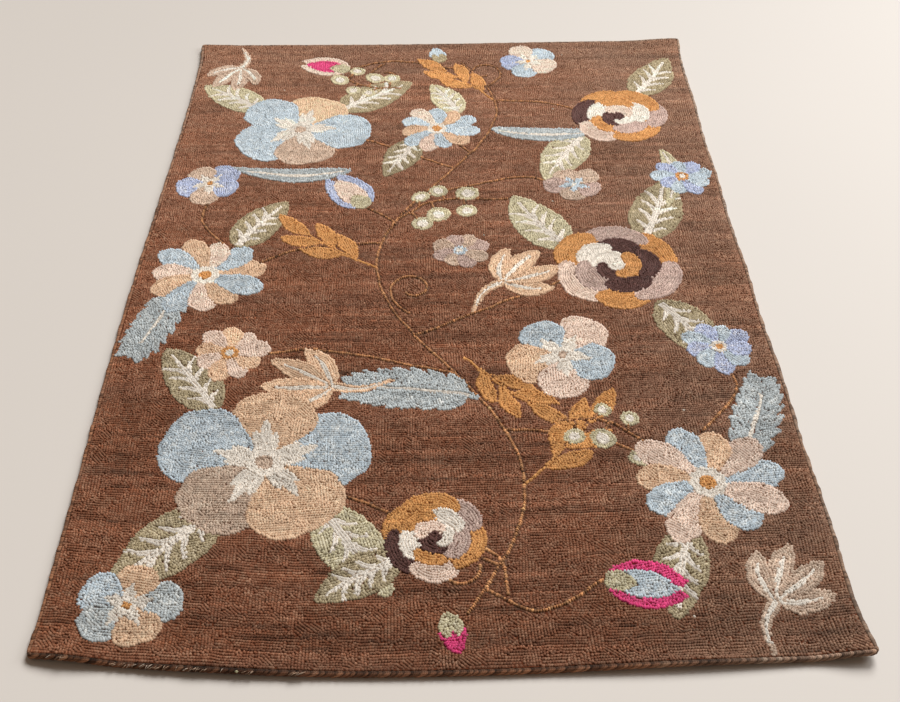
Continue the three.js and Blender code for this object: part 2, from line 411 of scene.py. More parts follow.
class Pattern:
    """The yarn patches of the pattern, in the order in which they are laid over each other."""

    def __init__(self, row_step):
        self.row = row_step
        self.patches = []

    def patch(self, outline, *look, **form):
        """A patch, drawn by hand along an outline."""
        self.patches.append(Patch(handmade(outline), *look, **form))

    def lay(self, shape, angle, at, *look, **form):
        """A patch in a shape that is turned by an angle and moved to a place."""
        self.patch(turned(shape, angle, at), *look, **form)

    def disc(self, at, turn, colour, *shape, squash=1.0):
        """A round patch whose rows follow its edge."""
        self.lay(scalloped(*shape, squash=squash), turn, at, colour, contoured=True)

    def line(self, line):
        """A single row of loops of the stems' yarn."""
        outline = ribbon(line, (self.row, self.row))
        self.patch(outline, "stem", family="stems", line=handmade(line))

    def band(self, line, widths, colour):
        """A band along a line, as wide as a few rows."""
        outline = ribbon(line, np.array(widths) * self.row)
        self.patch(outline, colour, family="leaves", contoured=True, knobbly=False)

    # -- leaves --

    def leaf(self, at, angle, size, colour, bend):
        """A broad leaf with a thick pale midrib and long side veins that run toward its tip."""
        width, veins = size * 0.50, 4
        self.lay(bladed(size, width, 0.42, 0.72, bend), angle, at, colour, 0.3, "leaves")
        thick = max(1.0, size / 0.19)
        for i in range(veins):
            for hand in (-1, 1):
                place = 0.10 + (0.60 * i + 0.10 * (hand > 0)) / veins
                root = spine(size, bend, place)
                reach = width * 0.52 * math.sin(math.pi * (0.24 + 0.62 * place))
                way = hand * (0.82 - 0.16 * place) + 2 * bend * place
                tip = root + reach * np.array([math.cos(way), math.sin(way)])
                middle = (root + tip) / 2 + 0.10 * reach * np.array([math.sin(way), -math.cos(way)]) * hand
                vein = turned(curve([root, middle, tip], 12), angle, at)
                self.band(vein, (2.1 * thick, 1.9 * thick, 1.1), "cream")
        midrib = turned(spine(size, bend, np.linspace(0.04, 0.88, 24)), angle, at)
        self.band(midrib, (3.0 * thick, 2.3 * thick, 1.2), "cream")

    def plume(self, at, angle, size, bend, leaflets=7):
        """A feathery leaf: pointed leaflets that run into one body along a pale midrib."""
        for i in range(leaflets):
            place = 0.10 + 0.80 * i / (leaflets - 1)
            root = spine(size, bend, place) * (0.94, 1)
            reach = size * 0.26 * math.sin(math.pi * (0.22 + 0.66 * place)) + 0.016
            for hand in (-1, 1):
                way = hand * (0.95 - 0.35 * place) + 2 * bend * place
                leaflet = turned(bladed(reach, size * 0.115, 0.42, 0.8, -0.10 * hand), way, root)
                self.lay(leaflet, angle, at, "slate", 0.2, "leaves")
        midrib = turned(spine(size, bend, np.linspace(0.0, 1.0, 30)), angle, at)
        self.patch(ribbon(midrib, size * np.array((0.05, 0.10, 0.08, 0.02))), "slate", 0.2, "leaves")
        self.band(midrib[2:-6], (1.5, 1.1), "cream")

    def sprig(self, at, angle, size, bend):
        """A stem with two long leaves on either side and one at its tip."""
        leaves, blade, tip_at = 4, size * 0.42, 0.72
        stem = spine(size, bend, np.linspace(0.0, tip_at, 30))
        self.band(turned(stem, angle, at), (1.2, 1.2), "ochre")
        way = math.atan(2 * bend * tip_at)
        tip = turned(bladed(blade, size * 0.15, 0.5, 0.85, bend), way, stem[-1])
        self.lay(tip, angle, at, "ochre", angle + way, "leaves")
        for i in range(leaves):
            hand = 1 if i % 2 else -1
            place = 0.20 + 0.48 * i / leaves
            way = hand * 0.62 + 2 * bend * place
            leaf = bladed(blade * 0.92, size * 0.14, 0.55, 0.85, -0.18 * hand)
            leaf = turned(leaf, way, spine(size, bend, place))
            self.lay(leaf, angle, at, "ochre", angle + way, "leaves")

    def palmette(self, at, angle, size, colour):
        """A fan of four curling blades on a curved stalk, each with a pale middle."""
        blades, spread = 4, 2.6
        stalk = turned(curve(size * np.array([(-0.75, -0.30), (-0.40, -0.04), (0, 0)]), 20), angle, at)
        self.patch(ribbon(stalk, size * np.array((0.04, 0.12, 0.16))), colour, 0.0, "leaves", contoured=True)
        fan = []
        for i in range(blades):
            way = spread * (i / (blades - 1) - 0.5)
            reach = size * (1.0 - 0.32 * abs(i / (blades - 1) - 0.5) * 2)
            fan.append((way, reach, -0.42 * way))
        for way, reach, bend in fan:
            blade = turned(bladed(reach, size * 0.34, 0.55, 0.7, bend), way, (0, 0))
            self.lay(blade, angle, at, colour, angle + way, "leaves", contoured=True)
        for way, reach, bend in fan:
            middle = turned(spine(reach, bend, np.linspace(0.06, 0.80, 20)), way, (0, 0))
            self.band(turned(middle, angle, at), (1.2, 1.9, 1.1), "cream")
        self.band(stalk[4:], (1.1, 1.8), "cream")

    def blade(self, at, angle, size, colour, bend):
        """A long curved leaf with a pale middle."""
        shape = bladed(size, size * 0.20, 0.45, 0.8, bend)
        self.lay(shape, angle, at, colour, angle, "leaves", contoured=True)
        middle = turned(spine(size, bend, np.linspace(0.08, 0.86, 30)), angle, at)
        self.band(middle, (1.1, 1.9, 1.1), "cream")

    # -- flowers --

    def blossom(self, at, size, turn, colours, centre=("cream", "taupe")):
        """A flower of five broad notched petals, each over the last, that are pale at their roots."""
        petals = 5
        for i in range(petals):
            angle = turn + TAU * i / petals + 0.06 * math.sin(4.0 * i)
            reach = size * (1.0 + 0.08 * math.sin(2.3 * i + 9 * turn))
            wide = size * 0.92 * (1.0 + 0.08 * math.sin(3.7 * i + turn))
            rows = 0.12 * math.sin(5.0 * i + turn)
            self.lay(notched(reach, wide), angle, at, colours[i % len(colours)], rows)
        for i in range(petals):
            for side, reach in ((-0.24, 0.40), (0.0, 0.56), (0.24, 0.42)):
                angle = turn + TAU * (i + 0.08) / petals + side
                flare = bladed(size * (reach + 0.05 * math.sin(3.0 * i)), size * 0.12, 0.55, 0.8, 0.1 * side)
                self.lay(flare, angle, at, centre[0], angle)
        self.disc(at, turn, centre[0], size * 0.17, 5, 0.14)
        self.disc(at, turn, centre[1], size * 0.085)

    def daisy(self, at, size, turn, colours, centre=("cream", "ochre"), petals=11):
        """A flower of many narrow petals round a disc."""
        for i in range(petals):
            angle = turn + TAU * i / petals
            reach = size * (1.0 + 0.10 * math.sin(1.9 * i + 5 * turn))
            petal = bladed(reach, size * 5.4 / petals, 0.68, 0.58, 0.06)
            self.lay(petal, angle, at, colours[i % len(colours)], angle)
        self.disc(at, turn, centre[0], size * 0.23, 9, 0.08)
        self.disc(at, turn, centre[1], size * 0.11)

    def rose(self, at, size, turn, rings):
        """A full rose: rings of petals bent round its heart, each ring with its own few colours."""
        self.lay(scalloped(size * 0.86, 7, 0.05), turn, at, rings[0][0], 0.3)
        shapes = ((0.80, 0.44, 6), (0.50, 0.38, 5), (0.24, 0.30, 3))
        for ring, (colours, (distance, width, petals)) in enumerate(zip(rings, shapes)):
            for i in range(petals):
                angle = turn + 0.7 * ring + TAU * i / petals
                spread = TAU / petals * (1.22 + 0.14 * math.sin(2.7 * i + ring))
                petal = crescent(size * distance, size * width * (1 + 0.12 * math.sin(3.9 * i)), spread)
                middle = toward(at, angle + 1.9, size * 0.06)
                way = angle + 0.10 * math.sin(5.0 * i)
                self.lay(petal, way, middle, colours[i % len(colours)], angle + 1.57, contoured=True)
        self.disc(at, turn, rings[2][0], size * 0.13, squash=0.8)

    def tulip(self, at, angle, size, colours):
        """A bell of three petals on a small cup."""
        outer, inner = colours
        for hand in (-1, 1):
            petal = turned(bladed(size, size * 0.46, 0.45, 0.75, -0.34 * hand), 0.42 * hand, (0, 0))
            self.lay(petal, angle, at, outer, 0.2 * hand)
        self.lay(bladed(size * 0.92, size * 0.44, 0.5, 0.7), angle, at, inner, 0.1)
        self.lay(bladed(size * 0.4, size * 0.34, 0.4, 0.6), angle, at, "sage", 0.0, "leaves")

    def bud(self, at, angle, size, colours):
        """A closed bud in a small cup of two sepals."""
        petal, cup = colours
        self.lay(bladed(size, size * 0.56, 0.52, 0.6), angle, at, petal, angle)
        for hand in (-1, 1):
            sepal = turned(bladed(size * 0.62, size * 0.30, 0.5, 0.8, -0.3 * hand), 0.5 * hand, (0, 0))
            self.lay(sepal, angle, at, cup, 0.4, "leaves")

    def berries(self, at, angle, size, count=6):
        """Round berries on short stalks along an arched twig."""
        twig = turned(curve([(0, 0), (0.4 * size, 0.16 * size), (size, 0.02 * size)], 30), angle, at)
        self.line(twig)
        for i in range(count):
            root = twig[5 + int(25 * i / count)]
            way = angle + (1.1 + 0.25 * i if i % 2 else -1.25 - 0.1 * i)
            middle = toward(root, way, size * (0.17 + 0.04 * math.sin(3.0 * i + 1)))
            self.line(curve([root, middle], 10))
            radius = size * (0.095 + 0.015 * math.sin(4.0 * i))
            self.disc(middle, angle, "sage", radius, squash=0.9)
            self.disc(middle, 0, "cream", radius * 0.5)

    # -- stems --

    def tendril(self, points):
        """A thin stem through a few points."""
        self.line(curve(points, 60))

    def curl(self, at, angle, size, turns):
        """A thin stem that ends in a curl."""
        self.line(curled(at, angle, size, turns))


def sway(y):
    """The main stem's place across the rug: it swings from side to side along the length."""
    return 0.13 * np.sin(TAU * (y + 0.84) / 1.14)


def flower_pattern(row_step):
    """Flowers in the bays of a stem that winds along the rug, with leaves, sprigs and buds between."""
    pattern = Pattern(row_step)
    run = np.linspace(-0.80, 0.80, 160)
    pattern.line(np.stack([sway(run), run], axis=-1))
    stems(pattern)
    foliage(pattern)
    flowers(pattern)
    return pattern


def stems(pattern):
    """Thin stems from the main stem to each flower, and loose curls."""
    for start, *rest in (
        (-0.72, (-0.08, -0.62), (-0.24, -0.54)),
        (-0.44, (0.26, -0.46), (0.40, -0.56)),
        (-0.20, (0.14, -0.10), (0.30, -0.02)),
        (0.08, (-0.28, 0.06), (-0.42, -0.02)),
        (0.34, (-0.14, 0.44), (-0.28, 0.50)),
        (0.62, (0.26, 0.60), (0.40, 0.52)),
        (0.76, (-0.12, 0.81), (-0.23, 0.77)),
        (-0.76, (0.14, -0.80), (0.24, -0.75)),
        (-0.30, (-0.20, -0.24), (-0.34, -0.25)),
        (0.24, (0.16, 0.30), (0.26, 0.27)),
    ):
        pattern.tendril([(sway(start), start), *rest])
    pattern.tendril([(-0.42, 0.04), (-0.50, 0.14), (-0.50, 0.24)])
    pattern.tendril([(0.38, 0.06), (0.46, 0.16), (0.51, 0.24)])
    pattern.tendril([(0.44, -0.46), (0.52, -0.36), (0.50, -0.27)])
    pattern.tendril([(-0.36, -0.62), (-0.44, -0.68), (-0.47, -0.75)])
    pattern.curl((0.09, -0.78), 1.5, 0.30, 1.0)
    pattern.curl((-0.06, -0.14), 2.4, 0.26, -1.0)
    pattern.tendril([(sway(0.12), 0.12), (-0.10, 0.15), (-0.16, 0.20)])
    pattern.tendril([(sway(0.40), 0.40), (0.03, 0.45), (0.0, 0.50)])
    pattern.curl((0.10, 0.68), 0.6, 0.24, 0.95)
    pattern.curl((-0.14, 0.80), -2.4, 0.20, 0.9)


def foliage(pattern):
    """Leaves, plumes, sprigs, berries and palmettes."""
    pattern.leaf((-0.37, -0.61), -2.25, 0.215, "olive", -0.08)
    pattern.leaf((-0.20, -0.60), -1.05, 0.205, "sage", 0.08)
    pattern.leaf((-0.40, -0.40), 2.1, 0.19, "olive", 0.1)
    pattern.plume((0.50, -0.52), 1.1, 0.20, 0.1)
    pattern.leaf((0.38, -0.66), -1.9, 0.17, "olive", 0.1)
    pattern.leaf((0.42, 0.07), 1.15, 0.22, "olive", 0.10)
    pattern.leaf((0.26, 0.05), 2.2, 0.21, "sage", -0.10)
    pattern.leaf((0.42, -0.12), -1.0, 0.20, "olive", -0.1)
    pattern.plume((-0.52, -0.08), -1.75, 0.20, -0.1)
    pattern.leaf((-0.42, 0.06), 1.15, 0.18, "olive", -0.1)
    pattern.leaf((-0.24, 0.58), 0.75, 0.21, "olive", -0.1)
    pattern.leaf((-0.43, 0.58), 2.4, 0.19, "sage", 0.1)
    pattern.leaf((0.47, 0.63), 0.95, 0.20, "olive", 0.1)
    pattern.leaf((0.33, 0.46), -2.2, 0.20, "sage", 0.1)
    pattern.plume((sway(-0.36), -0.36), 2.9, 0.24, 0.12, 8)
    pattern.blade((sway(0.50), 0.50), -0.5, 0.26, "slate", 0.5)
    pattern.blade((0.50, 0.40), -1.2, 0.20, "sage", -0.5)
    pattern.blade((-0.20, 0.34), -2.7, 0.25, "slate", -0.5)
    pattern.sprig((sway(-0.56), -0.56), 0.75, 0.24, 0.1)
    pattern.sprig((sway(0.0), 0.0), 2.6, 0.24, -0.1)
    pattern.sprig((sway(0.62), 0.62), 2.2, 0.24, 0.1)
    pattern.sprig((0.04, -0.26), -0.9, 0.22, 0.1)
    pattern.palmette((0.12, -0.05), 0.6, 0.135, "tan")
    pattern.palmette((-0.20, -0.33), 2.9, 0.14, "tan")
    pattern.palmette((0.49, -0.80), 0.9, 0.12, "taupe")
    pattern.palmette((-0.50, 0.78), -1.9, 0.12, "taupe")
    pattern.leaf((-0.07, -0.70), -2.7, 0.15, "olive", 0.1)
    pattern.leaf((0.04, 0.56), 1.9, 0.15, "sage", 0.1)
    pattern.leaf((-0.06, 0.46), -1.9, 0.16, "olive", -0.1)
    pattern.berries((sway(0.16), 0.16), 0.25, 0.24)
    pattern.berries((-0.10, 0.68), 2.6, 0.22)
    pattern.berries((0.20, -0.42), -0.5, 0.20, 5)


ROSE_RINGS = (("ochre", "mauve", "ochre", "blush"), ("aubergine", "cream", "mauve", "aubergine"),
              ("cream", "aubergine", "ochre"))
DARK_ROSE_RINGS = (("ochre", "aubergine", "blush", "ochre", "mauve"), ("cream", "ochre", "mauve"),
                   ("aubergine", "cream", "blush"))


def flowers(pattern):
    """The flowers and buds."""
    pattern.blossom((-0.30, -0.51), 0.175, 0.3, ("sky", "tan", "sky", "taupe", "tan"))
    pattern.rose((0.35, -0.01), 0.130, 0.4, ROSE_RINGS)
    pattern.blossom((-0.33, 0.50), 0.155, 1.2, ("tan", "sky", "sky", "taupe", "sky"))
    pattern.daisy((0.43, -0.57), 0.125, 0.1, ("sky", "blush", "tan"))
    pattern.daisy((-0.47, -0.03), 0.115, 0.2, ("tan", "sky", "blush"))
    pattern.rose((0.42, 0.54), 0.115, 1.9, DARK_ROSE_RINGS)
    pattern.rose((-0.02, -0.66), 0.085, 2.6, DARK_ROSE_RINGS)
    pattern.tulip((0.24, -0.75), -0.2, 0.12, ("magenta", "sky"))
    pattern.tulip((-0.23, 0.77), 2.9, 0.12, ("blush", "magenta"))
    pattern.daisy((0.51, -0.25), 0.066, 0.5, ("periwinkle", "sky"), ("cream", "ochre"), 9)
    pattern.daisy((0.53, 0.29), 0.064, 0.2, ("sky", "periwinkle"), ("ochre", "cream"), 9)
    pattern.blossom((-0.51, 0.28), 0.072, 0.9, ("periwinkle", "taupe"), ("cream", "ochre"))
    pattern.blossom((-0.48, -0.80), 0.078, 0.2, ("slate", "tan", "sky"), ("cream", "ochre"))
    pattern.blossom((0.22, 0.80), 0.075, 0.7, ("sky", "blush", "periwinkle"), ("cream", "ochre"))
    pattern.daisy((-0.39, -0.25), 0.070, 0.9, ("blush", "tan"), ("ochre", "cream"), 9)
    pattern.blossom((0.29, 0.27), 0.062, 2.0, ("taupe", "mauve"), ("sky", "cream"))
    pattern.daisy((0.04, 0.05), 0.056, 0.3, ("mauve", "taupe"), ("sky", "cream"), 8)
    pattern.daisy((-0.01, 0.50), 0.092, 0.4, ("sky", "tan", "sky", "blush"))
    pattern.blossom((0.22, -0.26), 0.105, 0.9, ("blush", "sky", "tan"))
    pattern.tulip((-0.16, 0.20), 2.2, 0.13, ("periwinkle", "blush"))
    pattern.bud((0.0, 0.80), 1.75, 0.075, ("sky", "olive"))
    pattern.bud((0.0, -0.80), -1.4, 0.070, ("magenta", "sage"))


# ---- where every loop goes ------------------------------------------------------------------

# The pattern is drawn on cells of this size. The pile ends a gap inside the whipping. The ground's
# number also finds its entry, the last one, in a list with an entry for each patch.
CELL = 0.001
GAP = 0.0003
PILE_HALF = np.array([WIDTH / 2 - WHIP_WIDTH - GAP, LENGTH / 2 - WHIP_WIDTH - GAP])
GROUND = -1


class Pitch(NamedTuple):
    """How far the loops lie apart along a row, and the rows from each other."""

    step: float
    row: float


class Pile(NamedTuple):
    """Every loop of the pile: its place, its direction, its patch, and how far it is from an edge."""

    place: np.ndarray
    angle: np.ndarray
    patch: np.ndarray
    margin: np.ndarray
    pattern: Pattern


def pairs(points, others, reach):
    """The numbers of all points and others that lie within reach of each other."""
    stride = 1 << 20
    cell = np.floor(others / reach).astype(np.int64)
    key = (cell[:, 0] + stride // 2) * stride + cell[:, 1]
    order = np.argsort(key, kind="stable")
    key = key[order]
    home = np.floor(points / reach).astype(np.int64)
    first, second = [], []
    for across in (-1, 0, 1):
        for along in (-1, 0, 1):
            wanted = (home[:, 0] + across + stride // 2) * stride + home[:, 1] + along
            low = np.searchsorted(key, wanted, "left")
            count = np.searchsorted(key, wanted, "right") - low
            i = np.repeat(np.arange(len(points)), count)
            step = np.arange(len(i)) - np.repeat(np.cumsum(count) - count, count)
            j = order[np.repeat(low, count) + step]
            near = ((points[i] - others[j]) ** 2).sum(axis=1) < reach**2
            first.append(i[near])
            second.append(j[near])
    return np.concatenate(first), np.concatenate(second)


def nearest(points, others, reach):
    """For each point, the distance to the nearest of the others, or reach if none is so near."""
    i, j = pairs(points, others, reach)
    found = np.full(len(points), reach)
    np.minimum.at(found, i, np.linalg.norm(points[i] - others[j], axis=1))
    return found


def thinned(points, rank, reach):
    """Which points stay when of any two within reach only the one with the lower rank may."""
    i, j = pairs(points, points, reach)
    different = i != j
    i, j = i[different], j[different]
    state = np.zeros(len(points), int)
    while (state == 0).any():
        unsettled = (state[i] == 0) & (state[j] == 0)
        best = state == 0
        best[i[unsettled & (rank[i] > rank[j])]] = False
        state[best] = 1
        beaten = (state[i] == 1) & (state[j] == 0)
        state[j[beaten]] = -1
    return state == 1


class Canvas:
    """The backing cloth with the pattern drawn on it: which patch lies at every place."""

    def __init__(self, pattern):
        columns, rows = np.ceil(2 * PILE_HALF / CELL).astype(int)
        self.labels = np.full((rows, columns), GROUND, np.int16)
        for number, patch in enumerate(pattern.patches):
            self.draw(patch.outline, number)

    def draw(self, outline, number):
        """Fills an outline, row by row, between the places where its edge crosses the row."""
        place = (outline + PILE_HALF) / CELL - 0.5
        rows, columns = self.labels.shape
        low_row = max(0, math.ceil(place[:, 1].min()))
        high_row = min(rows - 1, math.floor(place[:, 1].max()))
        if low_row > high_row:
            return
        crossings = np.zeros((high_row - low_row + 1, columns + 1), int)
        for (x0, y0), (x1, y1) in zip(place, np.roll(place, -1, axis=0)):
            if y0 > y1:
                x0, y0, x1, y1 = x1, y1, x0, y0
            row = np.arange(max(low_row, math.ceil(y0)), min(high_row, math.ceil(y1) - 1) + 1)
            if len(row):
                x = x0 + (row - y0) * (x1 - x0) / (y1 - y0)
                column = np.clip(np.ceil(x).astype(int), 0, columns)
                np.add.at(crossings, (row - low_row, column), 1)
        inside = np.cumsum(crossings, axis=1)[:, :columns] % 2 == 1
        self.labels[low_row:high_row + 1][inside] = number

    def at(self, points):
        """The patch at each point."""
        cell = np.floor((points + PILE_HALF) / CELL).astype(int)
        rows, columns = self.labels.shape
        return self.labels[np.clip(cell[:, 1], 0, rows - 1), np.clip(cell[:, 0], 0, columns - 1)]


def visible_edges(pattern, canvas):
    """Close points along the edge of every patch, where no later patch covers it."""
    found = []
    for number, patch in enumerate(pattern.patches):
        at, _ = evenly(patch.outline, 1.5 * CELL, closed=True)
        found.append(at[canvas.at(inset(at, 1.1 * CELL)) == number])
    return np.concatenate(found)


# How near two loops may lie, as shares of the step along a row: in the rows along lines and edges,
# where blocks of rows meet, where the rows meet those along edges, and where gaps are filled.
BEAD_ROOM = 0.82
SEAM_ROOM = 0.80
EDGE_ROOM = 0.74
GAP_ROOM = 0.84

# How far loops keep from an edge, as shares of the step between rows: in rows along edges, in the
# plain rows, and in gaps, which are filled a second time right up to the edges.
BEAD_SHYNESS = 0.40
ROW_SHYNESS = 0.42
GAP_SHYNESS = (0.36, 0.0)

# Gaps are looked for at places that stray by a share of their distance. The loops that fill them
# keep from the rim, and take the direction of a loop within reach, both as shares of the row step.
GAP_STRAY = 0.4
RIM_SHYNESS = 0.4
NEIGHBOUR_REACH = 1.6

# How many rows follow the edge of a contoured patch, and how much each ranks behind the last.
CONTOUR_ROWS = 9
CONTOUR_RANK = 5


def chain_loops(pattern, canvas, edges, pitch):
    """Rows of loops along the pattern's lines, and inside the edge of every patch."""
    shyness = BEAD_SHYNESS * pitch.row
    beads = []
    top = len(pattern.patches)

    def add(line, closed, number, rank, shy, across=False):
        """A row of loops along a line, where it runs over its own patch and is shy of every edge."""
        at, way = evenly(line, pitch.step, closed)
        way = way + math.pi / 2 * across
        keep = (nearest(at, edges, pitch.row) > shy) & (canvas.at(at) == number)
        beads.append(np.column_stack([at[keep], way[keep], np.full(keep.sum(), rank)]))

    for number, patch in enumerate(pattern.patches):
        if patch.line is not None:
            add(patch.line, False, number, 0.0, 0.0)
            continue
        order = 1 + (top - number) / top
        for row in range(CONTOUR_ROWS if patch.contoured else 1):
            line = inset(patch.outline, pitch.row / 2 + row * pitch.row)
            across = patch.knobbly and row == 0
            add(line, True, number, order + CONTOUR_RANK * row, shyness, across)
    beads = np.concatenate(beads)
    inside = (np.abs(beads[:, :2]) < PILE_HALF - shyness).all(axis=1)
    beads = beads[inside]
    rank = beads[:, 3] * len(beads) + np.arange(len(beads)) / len(beads)
    return beads[thinned(beads[:, :2], rank, BEAD_ROOM * pitch.step), :3]


def lattice(low, high, angle, pitch, rng):
    """Loops in straight rows over a rectangle, each row shifted by chance along its length."""
    middle = (low + high) / 2
    reach = np.linalg.norm(high - low) / 2 + pitch.row
    rows = np.arange(-reach, reach, pitch.row)
    steps = np.arange(-reach, reach, pitch.step)
    along = steps[None, :] + rng.uniform(0, pitch.step, len(rows))[:, None]
    across = np.repeat(rows[:, None], len(steps), axis=1)
    points = turned(np.stack([along.ravel(), across.ravel()], axis=-1), angle, middle)
    inside = (points > low).all(axis=1) & (points < high).all(axis=1)
    return points[inside]


# The directions in which the rows run, how readily each is taken up, and how large its blocks are
# across and along the rug. The seams between blocks have humps that are smaller by ROUGHER.
ROW_WAYS = (
    {"angle": 0.0, "liking": 0.26, "across": 0.036, "along": 0.015, "seed": 51},
    {"angle": math.pi / 2, "liking": 0.24, "across": 0.015, "along": 0.026, "seed": 52},
    {"angle": 0.80, "liking": -0.24, "across": 0.020, "along": 0.020, "seed": 53},
    {"angle": -0.75, "liking": -0.20, "across": 0.020, "along": 0.020, "seed": 54},
)
ROUGHER = 2.6

# How far the rows slant, and how far those of the ground wander to the right and toward the back.
ROW_SLANT = ((0.16, 0.05, 0.04, 15),)
WANDER_RIGHT = ((0.0030, 0.09, 0.13, 13), (0.0012, 0.022, 0.018, 16))
WANDER_BACK = ((0.0034, 0.13, 0.08, 14), (0.0012, 0.018, 0.022, 17))


def ways_liked(x, y):
    """How strongly each direction of rows is taken up at each place."""
    liked = []
    for way in ROW_WAYS:
        rough = noise(x, y, way["across"] / ROUGHER, way["along"] / ROUGHER, way["seed"] + 10)
        liked.append(way["liking"] + noise(x, y, way["across"], way["along"], way["seed"]) + 0.5 * rough)
    return np.array(liked)


def block_rows(low, high, turn, pitch, rng):
    """Rows over a rectangle in blocks that run in different directions, and meet at seams."""
    loops = np.zeros((0, 3))
    room = SEAM_ROOM * pitch.step
    for k, way in enumerate(ROW_WAYS):
        points = lattice(low, high, way["angle"] + turn, pitch, rng)
        x, y = points.T
        points = points[ways_liked(x, y).argmax(axis=0) == k]
        x, y = points.T
        slant = waves(x, y, ROW_SLANT)
        if len(loops):
            clear = nearest(points, loops[:, :2], room) >= room
            points, slant = points[clear], slant[clear]
        loops = np.concatenate([loops, np.column_stack([points, way["angle"] + turn + slant])])
    return loops


def ground_rows(canvas, pitch, rng):
    """Rows of the ground: most run across or along the rug, and wander a little."""
    loops = block_rows(-PILE_HALF, PILE_HALF, 0.0, pitch, rng)
    x, y = loops[:, 0].copy(), loops[:, 1].copy()
    loops[:, 0] += waves(x, y, WANDER_RIGHT)
    loops[:, 1] += waves(x, y, WANDER_BACK)
    return loops[canvas.at(loops[:, :2]) == GROUND]


def patch_rows(pattern, canvas, pitch, rng):
    """Rows inside every patch but the lines, in the patch's own direction."""
    loops = []
    for number, patch in enumerate(pattern.patches):
        if patch.line is None:
            low, high = patch.outline.min(axis=0), patch.outline.max(axis=0)
            rows = block_rows(low, high, patch.rows, pitch, rng)
            loops.append(rows[canvas.at(rows[:, :2]) == number])
    return np.concatenate(loops)


def gap_loops(loops, edges, shy, pitch, rng):
    """More loops wherever the rows leave a gap that would take one, shy of every edge."""
    step = pitch.step / 2
    x = np.arange(-PILE_HALF[0], PILE_HALF[0], step)
    y = np.arange(-PILE_HALF[1], PILE_HALF[1], step)
    points = np.stack(np.meshgrid(x, y), axis=-1).reshape(-1, 2)
    points += rng.uniform(-GAP_STRAY, GAP_STRAY, points.shape) * step
    inside = (np.abs(points) < PILE_HALF - RIM_SHYNESS * pitch.row).all(axis=1)
    points = points[inside]
    room = GAP_ROOM * pitch.step
    points = points[nearest(points, loops[:, :2], room) >= room]
    if shy:
        points = points[nearest(points, edges, shy) >= shy]
    points = points[thinned(points, rng.permutation(len(points)), room)]
    i, j = pairs(points, loops[:, :2], NEIGHBOUR_REACH * pitch.row)
    angle = np.zeros(len(points))
    angle[i] = loops[j, 2]
    return np.concatenate([loops, np.column_stack([points, angle])])


# How loops push each other apart: how often, over how many steps and how hard, the share that is
# left to rows along edges, and how many rows' width from the rim they stay.
EASING = {"rounds": 5, "reach": 1.06, "push": 0.3, "edge_share": 0.35, "margin": 0.45}


def eased(loops, along_edges, canvas, pitch):
    """Moves the loops a little, the first ones, along edges, least, so that all lie evenly apart."""
    reach = EASING["reach"] * pitch.step
    limit = PILE_HALF - EASING["margin"] * pitch.row
    home = canvas.at(loops[:, :2])
    for _ in range(EASING["rounds"]):
        at = loops[:, :2]
        i, j = pairs(at, at, reach)
        different = i != j
        i, j = i[different], j[different]
        away = at[i] - at[j]
        distance = np.maximum(np.linalg.norm(away, axis=1), CELL / 10)
        push = away * (EASING["push"] * (reach / distance - 1))[:, None]
        move = np.stack([np.bincount(i, push[:, k], len(at)) for k in (0, 1)], axis=-1)
        move[:along_edges] *= EASING["edge_share"]
        moved = np.clip(at + np.clip(move, -CELL, CELL), -limit, limit)
        stays = canvas.at(moved) == home
        loops[stays, :2] = moved[stays]
    return loops


@functools.lru_cache(maxsize=1)
def planned(pitch, seed):
    """The whole pile, worked out once for all the operators that need it."""
    rng = np.random.default_rng(seed)
    pattern = flower_pattern(pitch.row)
    canvas = Canvas(pattern)
    edges = visible_edges(pattern, canvas)
    beads = chain_loops(pattern, canvas, edges, pitch)
    rows = np.concatenate([ground_rows(canvas, pitch, rng), patch_rows(pattern, canvas, pitch, rng)])
    room = EDGE_ROOM * pitch.step
    rows = rows[nearest(rows[:, :2], beads[:, :2], room) >= room]
    shy = ROW_SHYNESS * pitch.row
    rows = rows[nearest(rows[:, :2], edges, shy) >= shy]
    loops = np.concatenate([beads, rows])
    for shyness in GAP_SHYNESS:
        loops = gap_loops(loops, edges, shyness * pitch.row, pitch, rng)
    loops = eased(loops, len(beads), canvas, pitch)
    place = loops[:, :2]
    margin = nearest(place, edges, 2 * pitch.row)
    return Pile(place, loops[:, 2], canvas.at(place), margin, pattern)


# ---- yarn colours -------------------------------------------------------------------------------


def linear(colour):
    """A colour as the eye sees it, as amounts of light."""
    colour = np.asarray(colour, float)
    return np.where(colour <= 0.04045, colour / 12.92, ((colour + 0.055) / 1.055) ** 2.4)


def yarn_of(pile, column):
    """One column of the table of yarns, for every loop."""
    named = [patch.yarn for patch in pile.pattern.patches] + ["brown"]
    number = np.array([YARN_NUMBER[name] for name in named])[pile.patch]
    return np.array([row[column] for row in YARNS])[number]


# How many times brighter the yarns are painted at the back end than at the front: painted light.
GROUND_PAINTED_BACK_LIGHT = 1.76
MOTIF_PAINTED_BACK_LIGHT = 1.62

# Sums of noises in the ground's dye and brightness, as waves() takes them.
WARMTH = ((1.0, 0.30, 0.05, 26), (0.6, 0.05, 0.02, 28))
STREAKS = ((0.15, 0.50, 0.014, 22), (0.10, 0.16, 0.006, 23), (0.12, 0.90, 0.045, 20))
PATCHES = ((0.08, 0.55, 0.16, 24), (0.08, 0.10, 0.05, 25))
WEAR = ((0.15, 0.20, 0.03, 29),)
FLECK_CLOUDS = ((0.5, 0.022, 0.012, 21),)
